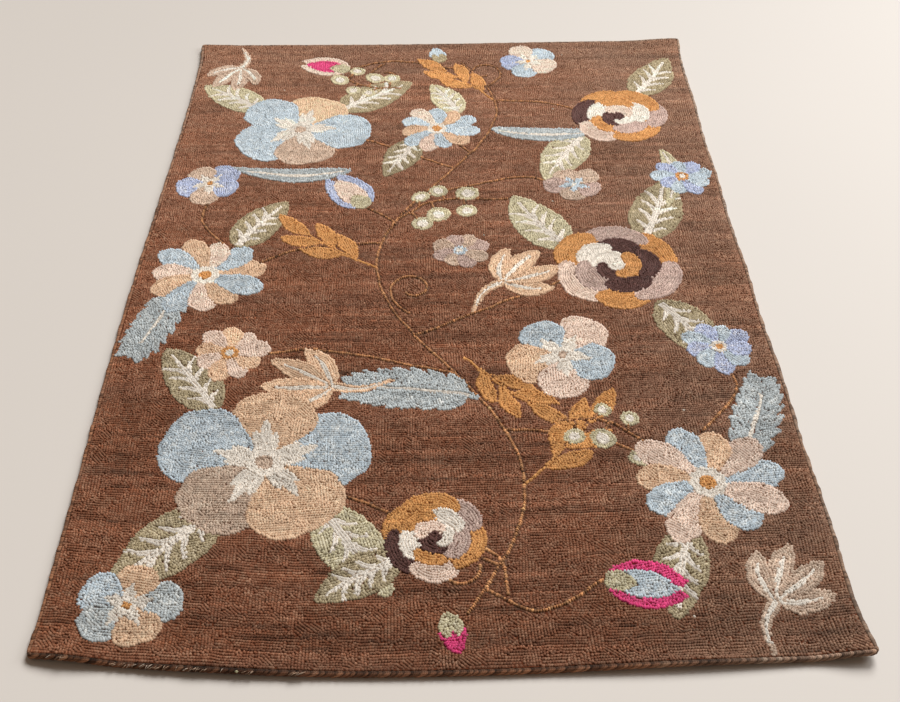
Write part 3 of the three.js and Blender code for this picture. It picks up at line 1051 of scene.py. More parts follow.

# What the ground's red, green and blue gain where it is warm and where it is pale, which toward the
# back is a painted sheen, and how the painted shade at the feet of its loops and those of the motifs
# is tinted.
WARM_CAST = np.array([0.05, 0.0, -0.07])
PALE_CAST = np.array([0.0, 0.25, 0.48])
GROUND_FOOT_SHADE_TINT = (1.12, 0.80, 0.54)
MOTIF_FOOT_SHADE_TINT = (1.05, 0.98, 0.94)

# The pale rows along the front: how far behind the edge they lie, and half their width.
PALE_ROWS_AT = 0.023
PALE_ROWS_HALF = 0.012

# The ground's loops beside a stem are painted dark, a painted shadow of the stem, and reach further from it
# to its front and right.
STEM_SHADOW = 0.0050
STEM_PAINTED_SHADOW = 0.52
TOWARD_STEM = np.array([-0.0012, 0.0012])

# The share of the ground's loops that are a stray pale yarn.
STRAY_LOOPS = 0.00015

# Motifs show fewer flecks this near an edge, and fewer toward the back.
FEW_FLECKS = 0.0045

# Thin lines across the rug: their width, and the length, rarity and seed of the pale and dark ones.
LINE_WIDTH = 0.0045
PALE_LINES = (0.12, 0.45, 27)
DARK_LINES = (0.09, 0.40, 33)

# How the share of flecks, a motif's tint and a loop's brightness vary by chance, the least and the
# most of that brightness, and how much brighter a loop's back is painted, a painted highlight on its top.
FLECK_CHANCE = (1.3, 2.0)
TINT_CHANCE = 0.05
SPREAD_CHANCE = 0.8
BRIGHTNESS = (0.3, 2.4)
TOP_HIGHLIGHT = 1.05


def painted_back_light(y, most):
    """How much brighter the yarns are painted at places along the rug, toward the back: painted light."""
    return most ** (np.clip(0.5 + y / LENGTH, 0, 1) ** 0.62 - 0.15)


def near_front(y):
    """How much a place lies in the pale rows along the front edge."""
    return np.exp(-(((y + LENGTH / 2 - PALE_ROWS_AT) / PALE_ROWS_HALF) ** 2))


def ground_cast(x, y):
    """How the ground's colour turns redder or yellower, and paler toward the right and, as a painted sheen,
    toward the back.
    """
    right, back = x / WIDTH, 0.5 + y / LENGTH
    right_end = np.clip(9.0 * right - 1.8, 0, 1.4) * (1 - 0.5 * back)
    # Painted sheen: the ground is painted paler toward the back.
    painted_back_sheen = np.clip(1.25 * back**2 - 0.2, 0, 1)
    paler = np.clip(right_end + painted_back_sheen + 0.2 * near_front(y), 0, 1.6)
    paler -= 0.25 * np.clip(-3.0 * right, 0, 1) * np.clip(1.3 - 1.3 * back, 0, 1)
    return 1 + waves(x, y, WARMTH)[:, None] * WARM_CAST + paler[:, None] * PALE_CAST


def thin_lines(x, y, across, rarity, seed):
    """Short thin lines that run across the rug, from 0 to 1. The rarer they are, the fewer."""
    return np.clip(noise(x, y, across, LINE_WIDTH, seed) - rarity, 0, 1)


def ground_brightness(x, y, streaks):
    """How the streaks, the sides, the front and its pale rows brighten or darken the ground."""
    side = 2.6 * x / WIDTH
    patches = waves(x, y, PATCHES)
    patches += 0.05 * np.clip(side - 0.4, 0, 1) + 0.16 * np.clip(-side - 0.4, 0, 1)
    patches -= 0.06 * np.clip(1 - 3.0 * (0.5 + y / LENGTH), 0, 1)
    return streaks + patches + near_front(y) * (0.38 + waves(x, y, WEAR))


def loop_colours(pile, yarns, rng):
    """Each loop's colour from its yarn and its own small share of flecks: its back with a painted highlight,
    its foot in painted shade.
    """
    x, y = pile.place.T
    count = len(x)
    back = 0.5 + y / LENGTH
    ground = pile.patch == GROUND
    dyes = {row["name"]: linear(getattr(yarns, row["name"])) for row in YARNS}
    dyed = np.array([dyes[name] for name in yarn_of(pile, "name")])
    # The ground's colour cast, with its painted sheen toward the back.
    dyed = np.where(ground[:, None], dyed * ground_cast(x, y), dyed)
    cloud = 0.5 + waves(x, y, FLECK_CLOUDS)
    few = np.where(ground | (pile.margin > FEW_FLECKS), 1.0, 0.55)
    few *= np.where(ground, 1.0, 1.0 - 0.6 * back)
    turn = (yarn_of(pile, "flecked") * rng.beta(*FLECK_CHANCE, count) * (0.5 + cloud) * few)[:, None]
    colour = dyed * (1 - turn) + linear(yarn_of(pile, "fleck")) * turn
    tint = np.append(rng.normal(0, TINT_CHANCE, len(pile.pattern.patches)), 0.0)[pile.patch]
    bright = 1 + yarn_of(pile, "spread") * rng.normal(0, SPREAD_CHANCE, count) * (1 - 0.4 * back) + tint
    streaks = waves(x, y, STREAKS) + thin_lines(x, y, *PALE_LINES)
    streaks -= (0.9 - 0.7 * back) * thin_lines(x, y, *DARK_LINES)
    bright += np.where(ground, ground_brightness(x, y, streaks), 0.4 * streaks)
    in_stem = yarn_of(pile, "name") == "stem"
    # Painted light: the ground and the motifs, but not the stems, are painted brighter toward the back.
    bright *= np.where(ground, painted_back_light(y, GROUND_PAINTED_BACK_LIGHT), np.where(in_stem, 1.0, painted_back_light(y, MOTIF_PAINTED_BACK_LIGHT)))
    # Painted shadow of the stems on the ground beside them.
    bright[ground & beside_stem(pile)] *= STEM_PAINTED_SHADOW
    colour = colour * np.clip(bright, *BRIGHTNESS)[:, None]
    stray = ground & (rng.random(count) < STRAY_LOOPS)
    colour[stray] = linear(yarns.cream) * 0.9
    # Painted shade at the foot for the gaps between loops, weaker toward the back, and tinted.
    depth = yarn_of(pile, "depth") ** (1 - 0.35 * back)
    foot_shade_tints = np.where(ground[:, None], GROUND_FOOT_SHADE_TINT, MOTIF_FOOT_SHADE_TINT)
    return np.clip(colour * TOP_HIGHLIGHT, 0, 1), colour * depth[:, None] * foot_shade_tints


def beside_stem(pile):
    """Which loops stand right beside a stem, more of them on its front and right."""
    stems = [patch.family == "stems" for patch in pile.pattern.patches] + [False]
    in_stem = np.array(stems)[pile.patch]
    return nearest(pile.place + TOWARD_STEM, pile.place[in_stem], STEM_SHADOW) < STEM_SHADOW


# ---- materials ----------------------------------------------------------------------------------


class Wire:
    """A node's output that takes part in sums, so that shader maths reads as plain Python."""

    def __init__(self, shader, socket):
        self.shader = shader
        self.socket = socket

    def maths(self, operation, first, second=0.0):
        """The output of a Math node."""
        return self.shader.node("ShaderNodeMath", {"operation": operation}, {0: first, 1: second})

    def __add__(self, other):
        return self.maths("ADD", self, other)

    def __radd__(self, other):
        return self.maths("ADD", other, self)

    def __mul__(self, other):
        return self.maths("MULTIPLY", self, other)

    def __rmul__(self, other):
        return self.maths("MULTIPLY", other, self)

    def sine(self):
        """The sine of a value."""
        return self.maths("SINE", self)

    def clipped(self):
        """A value held between 0 and 1."""
        return self.shader.node("ShaderNodeClamp", {}, {0: self})


class Shader:
    """A material's node tree."""

    def __init__(self, name):
        self.material = bpy.data.materials.new(name)
        self.material.use_nodes = True
        self.tree = self.material.node_tree
        self.surface = self.tree.nodes["Principled BSDF"]

    def node(self, kind, settings, values, output=0):
        """Adds a node: its settings first, then the values or links of its sockets."""
        node = self.tree.nodes.new(kind)
        for name, value in settings.items():
            setattr(node, name, value)
        self.fill(node, values)
        return Wire(self, node.outputs[output])

    def fill(self, node, values):
        """Gives a node's sockets their values or links."""
        for name, value in values.items():
            socket = node.inputs[name]
            if isinstance(value, Wire):
                self.tree.links.new(value.socket, socket)
            else:
                socket.default_value = value

    def mix(self, share, first, second, blend="MIX"):
        """A mix of two colours."""
        settings = {"data_type": "RGBA", "blend_type": blend}
        return self.node("ShaderNodeMix", settings, {0: share, 6: first, 7: second}, 2)

    def attribute(self, name):
        """A colour that the mesh holds."""
        return self.node("ShaderNodeAttribute", {"attribute_name": name}, {}, "Color")

    def place(self):
        """Places on the object, in metres."""
        return self.node("ShaderNodeTexCoord", {}, {}, "Object")

    def split(self, vector):
        """The three values of a vector."""
        outputs = self.node("ShaderNodeSeparateXYZ", {}, {0: vector}).socket.node.outputs
        return [Wire(self, output) for output in outputs]

    def map(self, name):
        """A flat map of the mesh as two values."""
        return self.split(self.node("ShaderNodeUVMap", {"uv_map": name}, {}))[:2]

    def grain(self, vector, scale, detail, roughness=0.5):
        """Noise from 0 to 1."""
        values = {"Vector": vector, "Scale": scale, "Detail": detail, "Roughness": roughness}
        return self.node("ShaderNodeTexNoise", {}, values, "Fac")

    def bump(self, height, strength, distance):
        """A normal from a height."""
        return self.node("ShaderNodeBump", {}, {"Height": height, "Strength": strength, "Distance": distance})

    def finish(self, values):
        """Sets the surface's own sockets and gives the material."""
        self.fill(self.surface, values)
        return self.material


# The tint of the motifs' sheen, and that of the ground's and the whipping's.
WOOL_SHEEN = (1.0, 0.95, 0.90, 1.0)
GROUND_SHEEN = (1.0, 0.70, 0.42, 1.0)


def wool(shader, fibre, strands, finish):
    """Dyed wool whose fine fibres and strands shade it and stand out of it."""
    share = finish["strands_shade"]
    shading = {
        "Value": fibre * (1 - share) + strands * share,
        "To Min": finish["darkest"],
        "To Max": finish["palest"],
    }
    shade = shader.node("ShaderNodeMapRange", {}, shading)
    light = shader.node("ShaderNodeCombineColor", {}, {0: shade, 1: shade, 2: shade})
    share = finish["strands_stand"]
    height = fibre * (1 - share) + strands * share
    return shader.finish({
        "Base Color": shader.mix(1.0, shader.attribute("yarn"), light, "MULTIPLY"),
        "Roughness": fibre * 0.15 + 0.78,
        "Specular IOR Level": 0.18,
        "Sheen Weight": finish["sheen"],
        "Sheen Roughness": 0.45,
        "Sheen Tint": finish["sheen_tint"],
        "Normal": shader.bump(height, finish["bump"], finish["relief"]),
    })


def yarn_material(name, sheen_tint):
    """The pile's yarn: fine fibres, the twist of its plies, and a soft sheen."""
    shader = Shader(name)
    along, across = shader.map("Yarn")
    fibre = shader.grain(shader.place(), 1100.0, 3.0, 0.6)
    ply = ((along + across * 0.8) * 9.0).sine() * 0.5 + 0.5
    return wool(shader, fibre, ply, {
        "strands_shade": 0.3, "darkest": 0.72, "palest": 1.22, "sheen": 0.22, "sheen_tint": sheen_tint,
        "strands_stand": 0.4, "bump": 0.55, "relief": 0.0007,
    })


def wrap_material():
    """The whipping's yarn: thick wraps, each of a few strands side by side."""
    shader = Shader("whipping_yarn")
    across, _ = shader.map("Yarn")
    fibre = shader.grain(shader.place(), 900.0, 3.0, 0.6)
    strands = ((across * 4.0 + fibre * 0.35) * TAU).sine() * 0.5 + 0.5
    return wool(shader, fibre, strands, {
        "strands_shade": 0.5, "darkest": 0.55, "palest": 1.25, "sheen": 0.08, "sheen_tint": GROUND_SHEEN,
        "strands_stand": 0.7, "bump": 0.7, "relief": 0.0008,
    })


# ---- meshes ---------------------------------------------------------------------------------


def new_piece(name, vertices, faces, material, replaces=()):
    """A smooth mesh that rides on the rug's only body."""
    mesh = bpy.data.meshes.new(name)
    sides = faces.shape[1]
    mesh.vertices.add(len(vertices))
    mesh.vertices.foreach_set("co", vertices.astype(np.float32).ravel())
    mesh.loops.add(faces.size)
    mesh.loops.foreach_set("vertex_index", faces.astype(np.int32).ravel())
    mesh.polygons.add(len(faces))
    mesh.polygons.foreach_set("loop_start", np.arange(0, faces.size, sides, dtype=np.int32))
    mesh.update(calc_edges=True)
    mesh.shade_smooth()
    mesh.materials.append(material)
    piece = bpy.data.objects.new(name, mesh)
    bpy.context.scene.collection.objects.link(piece)
    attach(piece, ROOT)
    if replaces:
        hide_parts(*replaces)
    return piece


def colour_vertices(piece, colours):
    """Stores a colour for each vertex, with any light and shade painted into it."""
    solid = np.column_stack([np.clip(colours, 0, 1), np.ones(len(colours))]).astype(np.float32)
    layer = piece.data.attributes.new("yarn", "FLOAT_COLOR", "POINT")
    layer.data.foreach_set("color", solid.ravel())


def flat_map(piece, name, corners):
    """Stores a flat map with a place for each corner of each face."""
    layer = piece.data.uv_layers.new(name=name)
    layer.data.foreach_set("uv", corners.astype(np.float32).ravel())


# A loop seen from above, as shares of its half length and half width: six points where it
# leaves the backing, and two on its back.
LOOP_SHAPE = np.array([
    (1, 0), (0.58, 1), (-0.58, 1), (-1, 0), (-0.58, -1), (0.58, -1), (0.62, 0), (-0.62, 0),
])
LOOP_BACK = np.array([0, 0, 0, 0, 0, 0, 1, 1])
LOOP_FACES = np.array([
    (0, 1, 6), (5, 0, 6), (1, 2, 7), (1, 7, 6), (4, 5, 6), (4, 6, 7), (2, 3, 7), (3, 4, 7),
])

# The height of the loops' feet over the rug's underside.
LOOP_FOOT = 0.0078

# How far each loop is shrunk on the flat map, and how far the map reaches past a piece's loops.
MAP_SHRINK = 0.62
MAP_MARGIN = 0.004

# Half a loop's length and width, from the least to the most, as shares of the two steps. Knobs
# are the loops along a motif's edge, and beads are those of the stems, which are short and plump.
LOOP_LENGTH = (0.60, 0.88)
LOOP_WIDTH = (0.54, 0.66)
KNOB_LENGTH = (0.9, 1.3)
BEAD_LENGTH = (0.36, 0.64)
BEAD_WIDTH = (0.75, 1.1)

# How far by chance a loop turns, a knob strays along its row, and a loop rises, leans and tilts.
TURN_CHANCE = 0.13
STRAY_CHANCE = 0.0009
RISE_CHANCE = 0.00028
LEAN_CHANCE = 0.00035
TILT_CHANCE = 0.00022

# How near an edge a motif's loops are knobs, and the ground's lie lower, as shares of the row step.
KNOB_REACH = 0.7
DIP_REACH = 0.8

# How much higher beads stand, and how much lower loops lie beside a stem and at the rug's rim, and
# at what distance from the rim, and over what run, they rise to the rest.
BEAD_LIFT = 0.0006
STEM_DIP = 0.0011
RIM_DIP = 0.0009
RIM_RISE = (0.003, 0.006)
PILE_WAVES = ((1.0, 0.06, 0.04, 31), (0.5, 0.30, 0.01, 32))


def loop_piece(name, pile, chosen, colours, sizes, material, rng):
    """One mesh of the chosen loops."""
    place, angle = pile.place[chosen], pile.angle[chosen]
    x, y = place.T
    count = len(place)
    margin = pile.margin[chosen]
    ground = pile.patch[chosen] == GROUND
    bead = yarn_of(pile, "name")[chosen] == "stem"
    knob = ~ground & (margin < KNOB_REACH * sizes.row_step)

    angle = angle + rng.normal(0, TURN_CHANCE, count)
    plump = yarn_of(pile, "plump")[chosen]
    half_length = sizes.loop_step * rng.uniform(*LOOP_LENGTH, count) * plump
    half_width = sizes.row_step * rng.uniform(*LOOP_WIDTH, count) * plump
    half_length *= np.where(knob, rng.uniform(*KNOB_LENGTH, count), 1.0)
    half_length *= np.where(bead, rng.uniform(*BEAD_LENGTH, count), 1.0)
    half_width *= np.where(bead, rng.uniform(*BEAD_WIDTH, count), 1.0)
    stray = np.where(knob & ~bead, rng.normal(0, STRAY_CHANCE, count), 0.0)
    x, y = x + stray * np.cos(angle), y + stray * np.sin(angle)

    rise = sizes.loop_rise + rng.normal(0, RISE_CHANCE, count)
    rise += sizes.pile_waves * waves(x, y, PILE_WAVES)
    beside = margin < DIP_REACH * sizes.row_step
    rise += np.where(ground, np.where(beside, -sizes.outline_dip, 0.0), sizes.motif_rise)
    rise += np.where(bead, BEAD_LIFT, 0.0) - np.where(ground & beside_stem(pile)[chosen], STEM_DIP, 0.0)
    from_rim = np.minimum(PILE_HALF[0] - np.abs(x), PILE_HALF[1] - np.abs(y))
    rise -= RIM_DIP * (1 - ramp(from_rim, *RIM_RISE))

    c, s = np.cos(angle), np.sin(angle)
    local_x = LOOP_SHAPE[:, 0] * half_length[:, None]
    local_y = LOOP_SHAPE[:, 1] * half_width[:, None]
    lean = rng.normal(0, LEAN_CHANCE, (count, 2))
    offset_x = local_x * c[:, None] - local_y * s[:, None] + LOOP_BACK * lean[:, :1]
    offset_y = local_x * s[:, None] + local_y * c[:, None] + LOOP_BACK * lean[:, 1:]
    tilt = np.array([1, -1])[None, :] * rng.normal(0, TILT_CHANCE, count)[:, None]
    points = len(LOOP_SHAPE)
    height = np.full((count, points), LOOP_FOOT)
    height[:, LOOP_BACK == 1] += rise[:, None] + tilt
    vertex_x, vertex_y = x[:, None] + offset_x, y[:, None] + offset_y
    vertices = lie_as_made(vertex_x.ravel(), vertex_y.ravel(), height.ravel())
    faces = (LOOP_FACES[None] + points * np.arange(count)[:, None, None]).reshape(-1, 3)
    piece = new_piece(name, vertices, faces, material)

    # The loops' backs take the colour with the painted highlight, their feet the one in painted shade.
    back, foot = (colour[chosen][:, None] for colour in colours)
    colour_vertices(piece, np.where(LOOP_BACK[None, :, None] == 1, back, foot).reshape(-1, 3))
    centre = np.stack([x, y], axis=-1)
    low, high = centre.min(axis=0) - MAP_MARGIN, centre.max(axis=0) + MAP_MARGIN
    spread = np.stack([offset_x, offset_y], axis=-1) * MAP_SHRINK
    unit = ((centre[:, None] + spread - low) / (high - low)).reshape(-1, 2)
    flat_map(piece, "OFBake", unit[faces].reshape(-1, 2))
    local = np.tile(LOOP_SHAPE, (count, 1))
    flat_map(piece, "Yarn", local[faces].reshape(-1, 2))


def tuft(context, family, name, strips=1, sheen_tint=WOOL_SHEEN):
    """Makes one or more pieces of all the loops of one family of patches."""
    sizes, yarns = context.scene.rug_sizes, context.scene.rug_yarns
    pile = planned(Pitch(sizes.loop_step, sizes.row_step), sizes.seed)
    families = np.array([patch.family for patch in pile.pattern.patches] + ["ground"])
    colours = loop_colours(pile, yarns, np.random.default_rng(sizes.seed + 1))
    ours = np.flatnonzero(families[pile.patch] == family)
    if not len(ours):
        raise RuntimeError(f"the pattern has no {family}")
    material = yarn_material(f"{name}_yarn", sheen_tint)
    order = ours[np.argsort(pile.place[ours, 0], kind="stable")]
    rng = np.random.default_rng(sizes.seed + 2 + len(ours))
    for i, chosen in enumerate(np.array_split(order, strips)):
        title = name if strips == 1 else f"{name}_{i + 1}"
        loop_piece(title, pile, chosen, colours, sizes, material, rng)


# ---- operators ----------------------------------------------------------------------------------


class RUG_OT_ground(Operator):
    """Tufts the plain brown ground, in strips along the rug"""

    bl_idname = "rug.tuft_ground"
    bl_label = "Tuft the Ground"

    def execute(self, context):
        tuft(context, "ground", "ground_pile", 4, GROUND_SHEEN)
        return {"FINISHED"}


class RUG_OT_petals(Operator):
    """Tufts the petals and the hearts of the flowers, in two strips"""

    bl_idname = "rug.tuft_petals"
    bl_label = "Tuft the Petals"

    def execute(self, context):
        tuft(context, "petals", "petal_pile", 2)
        return {"FINISHED"}


class RUG_OT_leaves(Operator):
    """Tufts the leaves and their veins"""

    bl_idname = "rug.tuft_leaves"
    bl_label = "Tuft the Leaves"

    def execute(self, context):
        tuft(context, "leaves", "leaf_pile")
        return {"FINISHED"}


class RUG_OT_stems(Operator):
    """Tufts the stems and tendrils"""

    bl_idname = "rug.tuft_stems"
    bl_label = "Tuft the Stems"

    def execute(self, context):
        tuft(context, "stems", "stem_pile")
        return {"FINISHED"}


class RUG_OT_backing(Operator):
    """Lays the backing cloth that the loops are tufted through"""

    bl_idname = "rug.lay_backing"
    bl_label = "Lay the Backing"

    def execute(self, context):
        backing_cloth(context.scene.rug_yarns)
        return {"FINISHED"}


class RUG_OT_whipping(Operator):
    """Whips the four edges with thick wraps of yarn"""

    bl_idname = "rug.whip_edges"
    bl_label = "Whip the Edges"

    def execute(self, context):
        sizes = context.scene.rug_sizes
        rng = np.random.default_rng(sizes.seed + 50)
        material = wrap_material()
        for side in SIDES:
            whipped_edge(side, sizes, context.scene.rug_yarns.brown, material, rng)
        return {"FINISHED"}


class RUG_OT_frays(Operator):
    """Lays frayed ends of yarn and a pale knot over the whipped front edge"""

    bl_idname = "rug.fray_ends"
    bl_label = "Fray the Ends"

    def execute(self, context):
        frayed_ends(np.random.default_rng(context.scene.rug_sizes.seed + 60))
        return {"FINISHED"}


class RUG_OT_stage(Operator):
    """Sets the pale floor, the soft light and the camera"""

    bl_idname = "rug.set_stage"
    bl_label = "Set the Stage"

    def execute(self, context):
        stage = context.scene.rug_stage
        pale_floor(stage)
        soft_light(stage)
        camera(stage)
        context.scene.view_settings.view_transform = "Standard"
        return {"FINISHED"}


# ---- the backing cloth ----------------------------------------------------------------------

# The loops' feet stand a little below the top of the backing.
BACKING_TOP = 0.0082
BACKING_CELLS = (48, 72)

# From one thread of the canvas to the next, how bright it is between threads, and the red, green
# and blue of its top against the ground's yarn: the yarn's brown at the feet, darkened as painted
# shade for the gaps between loops.
THREAD_STEP = 0.0024
UNLIT_THREAD = 0.62
GAP_PAINTED_SHADE = np.array([0.56, 0.38, 0.26])


def backing_cloth(yarns):
    """A closed slab under the loops, with the rug's own bends and lifts."""
    columns, rows = BACKING_CELLS
    u = np.linspace(-1, 1, columns + 1) * PILE_HALF[0]
    v = np.linspace(-1, 1, rows + 1) * PILE_HALF[1]
    x, y = (grid.ravel() for grid in np.meshgrid(u, v))
    top = lie_as_made(x, y, np.full_like(x, BACKING_TOP))
    bottom = lie_as_made(x, y, np.zeros_like(x))
    count = len(x)
    corner = (np.arange(rows)[:, None] * (columns + 1) + np.arange(columns)).ravel()
    upper = np.stack([corner, corner + 1, corner + columns + 2, corner + columns + 1], axis=-1)
    lower = upper[:, ::-1] + count
    rim = np.concatenate([
        np.arange(columns),
        columns + np.arange(rows) * (columns + 1),
        count - 1 - np.arange(columns),
        (rows - np.arange(rows)) * (columns + 1),
    ])
    onward = np.roll(rim, -1)
    sides = np.stack([rim + count, onward + count, onward, rim], axis=-1)
    faces = np.concatenate([upper, lower, sides])
    vertices = np.concatenate([top, bottom])
    piece = new_piece("backing_cloth", vertices, faces, backing_material(yarns), ("tufted_cloth",))
    piece.data.shade_flat()


def backing_material(yarns):
    """Plain-woven canvas; its top, where the yarn's feet fill it, is their brown darkened as painted shade.
    """
    shader = Shader("backing_canvas")
    place = shader.place()
    x, y, _ = shader.split(place)
    thread = TAU / THREAD_STEP
    weave = (x * thread).sine() * (y * thread).sine() * 0.5 + 0.5
    slub = shader.grain(place, 260.0, 3.0)
    canvas = linear(yarns.backing)
    light = (*canvas, 1.0)
    dark = (*(canvas * UNLIT_THREAD), 1.0)
    cloth = shader.mix(weave * 0.6 + slub * 0.4, dark, light)
    _, _, up = shader.split(shader.node("ShaderNodeNewGeometry", {}, {}, "Normal"))
    on_top = (up * 6.0 + 0.5).clipped()
    # The top seen between loops: the yarn's brown, darkened as painted shade for the gaps.
    shaded_yarn_feet = (*(linear(yarns.brown) * GAP_PAINTED_SHADE), 1.0)
    return shader.finish({
        "Base Color": shader.mix(on_top, cloth, shaded_yarn_feet),
        "Roughness": slub * 0.1 + 0.85,
        "Specular IOR Level": 0.15,
        "Normal": shader.bump(weave, 0.5, 0.0004),
    })


# ---- the whipped edge -----------------------------------------------------------------------

# Each side as it is walked round the rug: its way, its outward direction, its length, and the
# rug's size across it.
SIDES = (
    {"name": "front", "along": (1, 0), "outward": (0, -1), "run": WIDTH, "reach": LENGTH},
    {"name": "right", "along": (0, 1), "outward": (1, 0), "run": LENGTH, "reach": WIDTH},
    {"name": "back", "along": (-1, 0), "outward": (0, 1), "run": WIDTH, "reach": LENGTH},
    {"name": "left", "along": (0, -1), "outward": (-1, 0), "run": LENGTH, "reach": WIDTH},
)

# How bright the wraps are against the ground's yarn, and how often each comes, on the front and on
# the other sides.
WRAPS = (
    {"brightness": (1.05, 1.05, 1.08), "front": 0.42, "other": 0.45},
    {"brightness": (1.35, 1.38, 1.42), "front": 0.26, "other": 0.30},
    {"brightness": (0.62, 0.62, 0.64), "front": 0.20, "other": 0.25},
    {"brightness": (1.90, 2.00, 2.10), "front": 0.08, "other": 0.00},
    {"brightness": (2.50, 2.90, 3.20), "front": 0.04, "other": 0.00},
)

# The wraps of the front are thick cords, and those of the other sides are about as wide as the pile's
# loops. rings says where each wrap's rings lie along it, step how wide it is against the wrap step,
# and widths and fatness how far those vary. scallops is how far the edge waves in and out. mixed is
# how far the wraps' brightness varies, groove how bright their grooves are painted, a painted shade,
# and flecked how far they turn to the fleck's colour. outside is their brightness away from the pile,
# crease that beside it, painted shade on the front and painted light over the real shadow beside the
# pile on the other sides, and crease_gain what it gains toward the right end.
FRONT_WRAPS = {
    "rings": (0.0, 0.14, 0.38, 0.64, 0.87), "step": 1.0, "widths": (0.55, 1.45), "fatness": (0.6, 1.3),
    "scallops": 0.0, "mixed": 0.14, "groove": 0.20, "flecked": 0.15,
    "outside": 1.0, "crease": 0.26, "crease_gain": 0.60,
}
SIDE_WRAPS = {
    "rings": (0.0, 0.28, 0.72), "step": 0.44, "widths": (0.75, 1.25), "fatness": (0.2, 0.5),
    "scallops": 0.0016, "mixed": 0.08, "groove": 0.72, "flecked": 0.21,
    "outside": 0.94, "crease": 1.08, "crease_gain": 0.0,
}
WRAP_SIDES = 12
WRAP_LEAN = 1.5
WRAP_GROOVE = 0.0013
WRAP_SLIP = 0.0004
WRAP_MAP_ROWS = 20

# How boxy the whipping's section is, from 1, an oval, to 0, and the lowest that its yarn may hang.
BOXY = 0.75
LOWEST = 0.0001

# The front's wraps are dark, mixed and frayed up to WORN_END, on its left. From there they are painted
# brighter by the gain and over the run below, up to BRIGHTEST: painted light on the whipping's front,
# which faces away from the light. All wraps are a little yellower than the pile.
WORN_END = -0.27
WORN_MIXED = 0.30
FRONT_PAINTED_LIGHT = 0.85
FRONT_PAINTED_LIGHT_RUN = 0.22
BRIGHTEST = 2.6
WRAP_CAST = np.array([1.0, 0.95, 0.86])

# The least and the most that chance makes of a wrap's brightness, and how far its rings' vary.
WRAP_BRIGHTNESS = (0.3, 1.8)
RING_CHANCE = 0.08

# The part of the way round a wrap's section that lies along the pile, and the place along the front
# where the painted shade of the crease there starts to lighten, and the run over which it does.
BESIDE_PILE = (0.22, 0.55)
CREASE_BRIGHTENS = (0.36, 0.14)


def rounded(turn, stand):
    """Out from the middle of the whipping and up from its underside, at angles round its section."""
    c, s = np.cos(turn), np.sin(turn)
    out = np.sign(c) * np.abs(c) ** BOXY * WHIP_WIDTH / 2 + stand * c
    height = WHIP_HEIGHT / 2 * (1 + np.sign(s) * np.abs(s) ** BOXY) + stand * s
    return out, height


def tube_faces(rings, sides):
    """Four-sided faces between the rings of a tube, for each ring but the last and each side."""
    ring = np.arange(rings - 1)[:, None] * sides
    k = np.arange(sides)
    after = (k + 1) % sides
    return np.stack([ring + k, ring + sides + k, ring + sides + after, ring + after], axis=-1)


def edge_places(side, run, out):
    """Plain places at a run from the corner's middle along one side, and out from its middle."""
    bend = CORNER_RADIUS - WHIP_WIDTH / 2
    straight = side["run"] - 2 * CORNER_RADIUS
    run = run - bend * math.pi / 4
    turn = np.where(run < 0, run, np.maximum(run - straight, 0)) / bend
    along = np.clip(run, 0, straight) - straight / 2 + (bend + out) * np.sin(turn)
    outward = side["reach"] / 2 - CORNER_RADIUS + (bend + out) * np.cos(turn)
    x = along * side["along"][0] + outward * side["outward"][0]
    y = along * side["along"][1] + outward * side["outward"][1]
    return x, y


def whipped_edge(side, sizes, brown, material, rng):
    """One side's wraps: a rounded tube with a groove between every two wraps, leaning a little."""
    total = side["run"] - 2 * CORNER_RADIUS + (CORNER_RADIUS - WHIP_WIDTH / 2) * math.pi / 2
    style = FRONT_WRAPS if side["name"] == "front" else SIDE_WRAPS
    count = round(total / (sizes.wrap_step * style["step"]))
    widths = rng.uniform(*style["widths"], count)
    starts = np.concatenate([[0], np.cumsum(widths)]) * total / widths.sum()
    rings = np.array(style["rings"])
    run = np.append((starts[:-1, None] + rings * np.diff(starts)[:, None]).ravel(), total)
    wrap = np.append(np.repeat(np.arange(count), len(rings)), count - 1)
    place = np.append(np.tile(rings, count), 1.0)
    fatness = rng.uniform(*style["fatness"], count)[wrap]
    bulge = WRAP_GROOVE * fatness * (np.sin(np.pi * place) ** 0.6 - 0.55)
    bulge[[0, -1]] = -0.5 * WRAP_GROOVE
    around = np.linspace(0, TAU, WRAP_SIDES, endpoint=False)
    scallop = style["scallops"] * noise(run, 0 * run, 0.013, 1.0, 71)[:, None]
    out, height = rounded(around, bulge[:, None])
    out = out + scallop * np.clip(np.cos(around), 0, 1)
    height = np.maximum(height, LOWEST)
    slip = np.append(rng.normal(0, WRAP_SLIP, count), 0.0)[np.append(wrap[:-1], count)]
    slip[0] = 0.0
    leaned = run[:, None] + slip[:, None] + WRAP_LEAN * (height - WHIP_HEIGHT / 2)
    x, y = edge_places(side, leaned, out)
    vertices = lie_as_made(x.ravel(), y.ravel(), height.ravel())
    faces = tube_faces(len(run), WRAP_SIDES).reshape(-1, 4)
    name, solid = f"whipped_{side['name']}", f"whipping_{side['name']}"
    piece = new_piece(name, vertices, faces, material, (solid,))
    colour_vertices(piece, wrap_colours(style, wrap, place, x.mean(axis=1), y.mean(axis=1), brown, rng))
    wrap_maps(piece, wrap, place)


